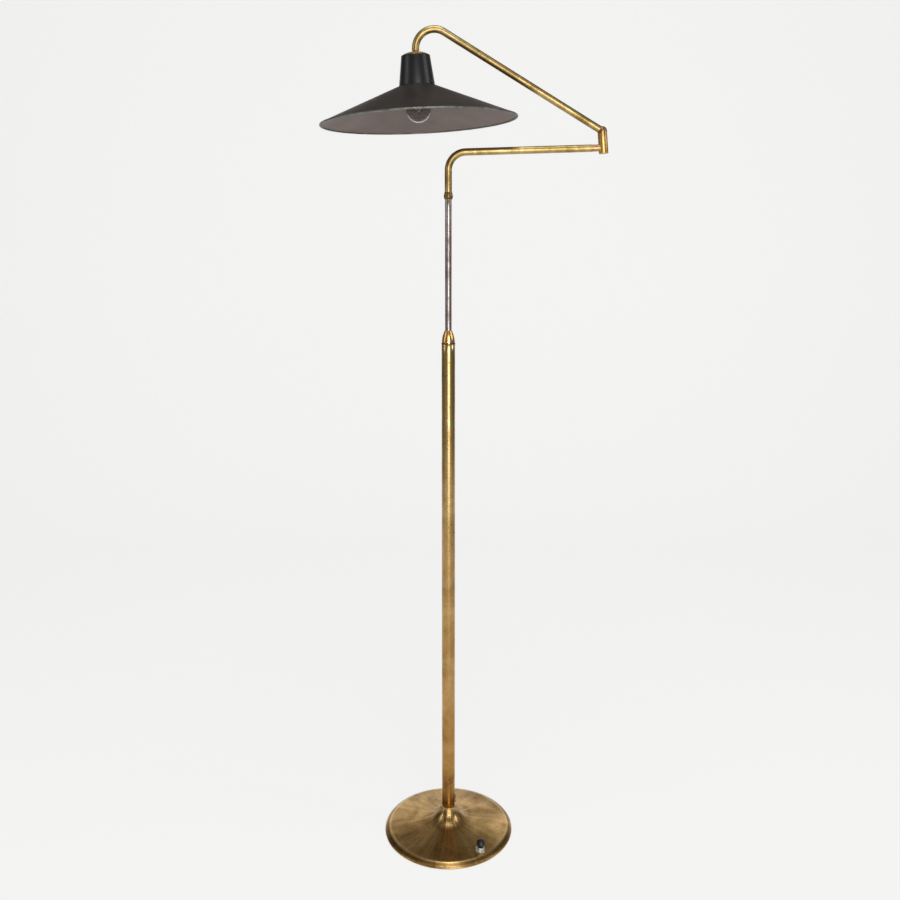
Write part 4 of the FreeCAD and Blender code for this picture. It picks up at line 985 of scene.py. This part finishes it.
@dataclass(frozen=True)
class ShadeHead:
    """The shade and all that turns with it on the ball: dome, neck, shade, lampholder and lamp."""

    ball: tuple[float, float, float] = (-57.725098, 0.0, 1477.740150)
    lean: float = 2.8
    collar_foot: float = 9.5
    collar_height: float = 2.3
    neck_top: float = 0.4
    neck_foot: float = -51.0
    neck_top_radius: float = 25.5
    neck_radius: float = 32.0
    shade_radius: float = 175.0
    shade_drop: float = 112.5
    shade_wall: float = 1.2
    bead: float = 1.6
    bulb_radius: float = 22.5
    bulb_foot: float = -114.0

    def upright(self) -> Seat:
        """The arm's end, upright over the ball."""
        return Seat(self.ball)

    def seat(self) -> Seat:
        """The shade's own axis, leaning towards -X."""
        return Seat(self.ball, self.lean, 180.0)

    def joint(self, shop: Workshop) -> None:
        """Make the collar, ball and dome over the neck."""
        z, h = self.collar_foot, self.collar_height
        collar = softened([(4.55, z, 0), (6.8, z, 0.3), (6.8, z + 0.3 * h, 0.2), (6.3, z + 0.5 * h, 0.2),
                           (6.8, z + 0.7 * h, 0.2), (6.8, z + h, 0.3), (4.55, z + h, 0)])
        shop.piece(turned("hook_collar", collar, self.upright()), RING_BRASS, Body.SWIVEL, "aged_brass",
                   "swivel_collar")
        ball = arc((0, 0), 10.0, -72.5, 63.2, 48)
        stud = softened([(3.0, -9.53, 0), *ball, (4.5, 9.2, 0.3), (4.5, 12.4, 0), (5.25, 12.4, 0),
                         (5.25, 13.6, 0), (4.5, 13.6, 0), (4.5, 17.1, 0), (3.0, 17.1, 0)])
        shop.piece(turned("swivel_ball", stud, self.upright()), SLEEVE_BRASS, Body.SWIVEL, "bright_brass",
                   "ball_stud")
        low, high = np.array([26.0, 0.4]), np.array([8.4, 6.8])
        chord = high - low
        half = float(np.linalg.norm(chord)) / 2
        normal = np.array([-chord[1], chord[0]]) / (2 * half)
        centre = (low + high) / 2 + normal * math.sqrt(40.0 ** 2 - half ** 2)
        start, end = [math.degrees(math.atan2(p[1] - centre[1], p[0] - centre[0])) for p in (low, high)]
        crown = arc(centre, 40.0, start, end, 24)
        dome = softened([(24.4, 0.4, 0), (25.7, 0.4, 0), *crown[1:-1], (8.4, 6.8, 0.4), (7.9, 5.9, 0.2),
                         (13.05, 4.2, 0)])
        shop.piece(turned("neck_dome", dome, self.seat(), 160), RING_BRASS, Body.HEAD, "aged_brass",
                   "shade_cap")

    def neck(self, shop: Workshop) -> None:
        """Make the black neck with its rolled foot, and the slotted screws that hold the shade."""
        top, foot, t, b = self.neck_top, self.neck_foot, self.neck_top_radius, self.neck_radius
        wall = softened([(b - 1.2, foot, 0.3), (b, foot, 0.5), (t, top, 1.6), (15.4, top, 0.2),
                         (15.4, top - 1.2, 0), (t - 1.3, top - 1.2, 0)])
        shop.piece(turned("neck_shell", wall, self.seat(), 160), NECK_PAINT, Body.HEAD, "neck_paint",
                   "neck_housing")
        for index in range(2):
            self.screw(shop, index, -33.0 + 180.0 * index)

    def screw(self, shop: Workshop, index: int, azimuth: float) -> None:
        """Make one slotted screw that lies across the neck's wall.

        Args:
            shop: the workshop.
            index: the screw's number.
            azimuth: its direction round the neck in degrees.
        """
        head = softened([(0, 27.4, 0), (1.5, 27.4, 0.2), (1.5, 31.95, 0), (2.6, 31.95, 0.2),
                         (2.6, 32.9, 0.35), (0.0, 33.3, 0)], False)
        mesh = turned(f"shade_screw_{index}", head, segments=48, closed=False)
        count = len(mesh.vertices)
        places = np.empty(count * 3, dtype=np.float32)
        mesh.vertices.foreach_get("co", places)
        places = places.reshape(-1, 3)
        outer = (places[:, 2] > 32.7 * MM) & (np.abs(places[:, 0]) < 0.45 * MM)
        places[outer, 2] -= 0.5 * MM
        mesh.vertices.foreach_set("co", places.ravel())
        across = Matrix.Rotation(math.radians(azimuth), 4, "Z") @ Matrix.Rotation(math.radians(90), 4, "Y")
        mesh.transform(self.seat().matrix() @ Matrix.Translation((0, 0, (self.neck_foot + 4) * MM)) @ across)
        shop.piece(mesh, DARK_BRASS, Body.HEAD, "dark_brass", "shade_screws")

    def shade(self, shop: Workshop) -> None:
        """Make the painted cone, its lining and the bare rolled rim."""
        drop, r, w = self.shade_drop, self.shade_radius, self.shade_wall
        slope = math.atan((drop - 51.3 - 1.31) / (r - 33.2))
        middle = w / 2 / math.cos(slope)
        skin = [(33.2, -51.3), (r, -drop + 1.31)]
        split = [(33.2, -51.3 - middle), (r, -drop + 1.31 - middle)]
        lining = [(33.2, -51.3 - 2 * middle), (r, -drop + 1.31 - 2 * middle)]
        collar_out, collar_in = (29.75, -43.4), (28.6, -43.4)
        sides = ((SHADE_PAINT, "shade_skin", skin, split, [(30.72, -51.3, 0.5), (*collar_out, 0)],
                  [(29.2, -43.4, 0), (30.1, -51.8, 0.3)]),
                 (LINING_IN_PAINTED_SHADE, "shade_lining", split, lining, [(30.1, -51.8, 0.3), (29.2, -43.4, 0)],
                  [(*collar_in, 0), (29.55, -52.4, 0.5)]))
        for finish, name, outside, inside, up_side, down_side in sides:
            out = [(a, b, 0.0) for a, b in np.linspace(outside[1], outside[0], 24)]
            back = [(a, b, 0.0) for a, b in np.linspace(inside[0], inside[1], 24)]
            profile = softened([*out[:-1], (*outside[0], 1.5), *up_side, *down_side, (*inside[0], 1.5),
                                *back[1:]])
            shop.piece(turned(name, profile, self.seat(), 320), finish, Body.HEAD, "shade_paint", "shade")
        roll = softened(arc((r, -drop), self.bead, 0, 345, 24))
        shop.piece(turned("shade_rim", roll, self.seat(), 320), RIM_METAL, Body.HEAD, "shade_paint", "shade")

    def lampholder(self, shop: Workshop) -> None:
        """Make the lampholder's shell and its ribbed ring, and dress what is inside."""
        body = softened([(17.4, -60, 0), (20, -60, 0), (20, -27.3, 0), (17.4, -27.3, 0)])
        shop.piece(turned("holder_shell", body, self.seat()), HOLDER_BLACK, Body.HEAD, "holder_plastic",
                   "lampholder_body")
        ring = softened([(20.05, -60, 0), (22, -60, 0.8), (22, -54, 0.8), (20.05, -54, 0)])
        shop.piece(turned("holder_ring", ring, self.seat(), 240, True, 40, 0.7), HOLDER_BLACK, Body.HEAD,
                   "holder_plastic", "lampholder_ring")
        shop.dress(HOLDER_BLACK, "lampholder_cap", "contact_block")
        shop.dress(LAMP_METAL, "thread_shell")
        shop.dress(ZINC, "holder_nipple", "ball_seat")

    def lamp(self, shop: Workshop) -> None:
        """Make the golf-ball lamp: glass, threaded cap, stem and coiled filament."""
        radius, foot = self.bulb_radius, self.bulb_foot
        centre = (0.0, foot + radius)
        lift = math.degrees(math.acos(12.45 / radius))
        skin = arc(centre, radius, -90, lift, 60)
        inner_lift = math.degrees(math.acos(11.65 / (radius - 0.8)))
        bore = arc(centre, radius - 0.8, inner_lift, -90, 60)
        glass = softened([(0, foot, 0), *skin[1:-1], (12.45, skin[-1][1], 3), (12.45, -57.2, 0.3),
                          (11.65, -57.2, 0.3), (11.65, bore[0][1], 3), *bore[1:-1], (0, foot + 0.8, 0)], False)
        shop.piece(turned("lamp_envelope", glass, self.seat(), 128, closed=False), CLEAR_GLASS, Body.HEAD,
                   "lamp_glass", "bulb_glass")
        wave = [(12.7 + 0.4 * math.cos(math.pi * k / 2), -61.5 + 0.45 * k, 0.0) for k in range(36)]
        cap = softened([(12.5, -63, 0), (13.1, -63, 0.3), *wave, (12.6, -44.0, 0.5), (4.0, -40.5, 0.4),
                        (3.0, -39.0, 0.8), (0, -39.0, 0), (0, -42, 0), (12.3, -46, 0)])
        shop.piece(turned("lamp_screw_cap", cap, self.seat(), 96), LAMP_METAL, Body.HEAD,
                   "lamp_metal", "bulb_cap")
        shop.dress(CLEAR_GLASS, "bulb_stem")
        turn = np.linspace(0, 2 * np.pi * 64, 64 * 8)
        around = np.radians(20) + turn / 64 * (320 / 360)
        reach = 7.0 + 0.35 * np.cos(turn)
        helix = np.stack([reach * np.cos(around), reach * np.sin(around), -94.5 + 0.35 * np.sin(turn)], axis=1)
        shop.piece(self.wire("filament_coil", helix, 0.11), TUNGSTEN, Body.HEAD, "lamp_metal", "bulb_filament")
        for index in range(5):
            angle = math.radians(20 + index * 80)
            outer = np.array([7 * math.cos(angle), 7 * math.sin(angle), -94.5])
            inner = np.array([1.2 * math.cos(angle), 1.2 * math.sin(angle), -90.6])
            spoke = inner + np.linspace(0, 1, 6)[:, None] * (outer - inner)
            shop.piece(self.wire(f"filament_post_{index}", spoke, 0.22), TUNGSTEN, Body.HEAD, "lamp_metal",
                       "bulb_filament")

    def wire(self, name: str, line: np.ndarray, radius: float) -> bpy.types.Mesh:
        """Carry a small ring along a line in the shade's own frame.

        Each ring is centre + radius (cos a P + sin a Q), with P and Q square to the line.

        Args:
            name: the mesh's name.
            line: places in millimetres in the shade's frame.
            radius: the wire's radius in millimetres.

        Returns:
            The mesh.
        """
        along = np.gradient(line, axis=0)
        along /= np.linalg.norm(along, axis=1, keepdims=True)
        first = np.cross(along, np.array([0.31, 0.17, 0.93]))
        first /= np.linalg.norm(first, axis=1, keepdims=True)
        second = np.cross(along, first)
        turn = np.linspace(0, 2 * np.pi, 6, endpoint=False)
        rings = (line[:, None] + radius * (np.cos(turn)[None, :, None] * first[:, None]
                                           + np.sin(turn)[None, :, None] * second[:, None]))
        ends = [np.repeat(line[k][None, None], 6, axis=1) for k in (0, -1)]
        local = np.concatenate([ends[0], rings, ends[1]]) * MM
        up = np.linspace(0, float(length_along(line)[-1]) * MM, len(local))
        across = np.linspace(0, 2 * np.pi * radius * MM, 7)
        return grid_mesh(name, self.seat().put(local), across, up, False, True)

    def build(self, shop: Workshop) -> None:
        """Make all of the head.

        Args:
            shop: the workshop.
        """
        self.joint(shop)
        self.neck(shop)
        self.shade(shop)
        self.lampholder(shop)
        self.lamp(shop)


# --------------------------------------------------------------------------- room, light and camera
# Each soft box: name, place and aim in metres, width and height in metres, watts.
SOFT_BOXES = (("soft_box_front", (0.45, -3.2, 1.1), (0.0, 0.0, 0.8), (1.5, 2.4), 62),
              ("soft_box_left", (-2.4, -0.9, 1.9), (0.0, 0.0, 1.0), (0.7, 1.8), 10),
              ("soft_box_right", (2.4, -0.6, 2.2), (0.0, 0.0, 1.0), (0.7, 1.8), 14),
              ("soft_box_top", (0.0, -0.6, 3.1), (0.0, 0.0, 0.8), (1.2, 1.2), 16))


@dataclass(frozen=True)
class Studio:
    """The plain pale room, its soft lights and the camera at the photograph's angle."""

    paper: str = "f4f4f2"
    camera_place: tuple[float, float, float] = (0.00303, -1.67505, 1.15909)
    pitch: float = 82.0
    lens: float = 36.6133
    shift: float = -0.09177
    glow_share: float = 0.80
    room_strength: float = 0.16
    half_width: float = 2.4
    sweep_radius: float = 0.9
    sweep_start: float = 1.7
    front_edge: float = -3.0
    top_edge: float = 2.4

    def paper_sheet(self) -> None:
        """A sheet that lies on the floor and curves up behind the lamp."""
        r = Recipe("studio_paper")
        grain = r.noise(r.place, 3, 2)
        tone = r.mix(r.step(grain, 0.3, 0.7, 0.0, 0.3), linear(self.paper), linear("efefec"))
        lit = r.add("ShaderNodeBsdfDiffuse", {"Color": tone})
        glow = r.add("ShaderNodeEmission", {"Color": linear("ffffff"), "Strength": 1.0})
        path = r.add("ShaderNodeLightPath")
        seen = r.maths("ADD", path.outputs["Is Camera Ray"], path.outputs["Is Glossy Ray"])
        share = r.maths("MULTIPLY", r.maths("ADD", seen, path.outputs["Is Transmission Ray"]),
                        self.glow_share)
        blend = r.add("ShaderNodeMixShader", {0: share, 1: lit.outputs[0], 2: glow.outputs[0]})
        r.add("ShaderNodeOutputMaterial", {"Surface": blend.outputs[0]})
        turn = np.radians(np.linspace(-90, 0, 24))
        bend, start = self.sweep_radius, self.sweep_start
        depth = np.concatenate([[self.front_edge], start + bend * np.cos(turn), [start + bend]])
        height = np.concatenate([[0.0], bend + bend * np.sin(turn), [self.top_edge]]) - 0.0002
        side = np.linspace(-self.half_width, self.half_width, 9)
        points = np.stack([np.broadcast_to(side, (len(depth), 9)),
                           np.broadcast_to(depth[:, None], (len(depth), 9)),
                           np.broadcast_to(height[:, None], (len(depth), 9))], axis=-1)
        mesh = grid_mesh("paper_sweep", points, side, depth, False, False)
        sheet = bpy.data.objects.new("paper_sweep", mesh)
        bpy.context.scene.collection.objects.link(sheet)
        mesh.materials.append(r.material)

    def light(self, name: str, place: Sequence[float], aim: Sequence[float], size: Sequence[float],
              power: float) -> None:
        """Hang one soft box.

        Args:
            name: its name.
            place: where it hangs, in metres.
            aim: the point that it faces.
            size: its width and height.
            power: watts.
        """
        data = bpy.data.lights.new(name, "AREA")
        data.shape = "RECTANGLE"
        data.size, data.size_y = size
        data.energy = power
        box = bpy.data.objects.new(name, data)
        bpy.context.scene.collection.objects.link(box)
        box.location = place
        box.rotation_euler = (Vector(aim) - Vector(place)).to_track_quat("-Z", "Y").to_euler()

    def build(self) -> None:
        """Make the room, lights, world and camera."""
        self.paper_sheet()
        for box in SOFT_BOXES:
            self.light(*box)
        world = bpy.data.worlds.new("room")
        bpy.context.scene.world = world
        world.use_nodes = True
        ground = world.node_tree.nodes["Background"]
        ground.inputs["Color"].default_value = linear("e4dccf")
        ground.inputs["Strength"].default_value = self.room_strength
        scene = bpy.context.scene
        scene.view_settings.view_transform = "Standard"
        data = bpy.data.cameras.new("camera")
        data.lens, data.sensor_width = self.lens, 36.0
        data.shift_y = self.shift
        data.clip_start = 0.05
        camera = bpy.data.objects.new("camera", data)
        scene.collection.objects.link(camera)
        camera.location = self.camera_place
        camera.rotation_euler = (math.radians(self.pitch), 0, 0)
        scene.camera = camera


def main() -> None:
    """Build the room and the lamp from the floor up."""
    logging.basicConfig(level=logging.INFO, format="%(message)s")
    Studio().build()
    shop = Workshop()
    for part in (Foot(), CordGland(), FootSwitch(), Stem(), LowerArm(), UpperArm(), ShadeHead()):
        part.build(shop)
        LOG.info("%s done", type(part).__name__)
    bpy.context.view_layer.update()


if __name__ == "__main__":
    main()
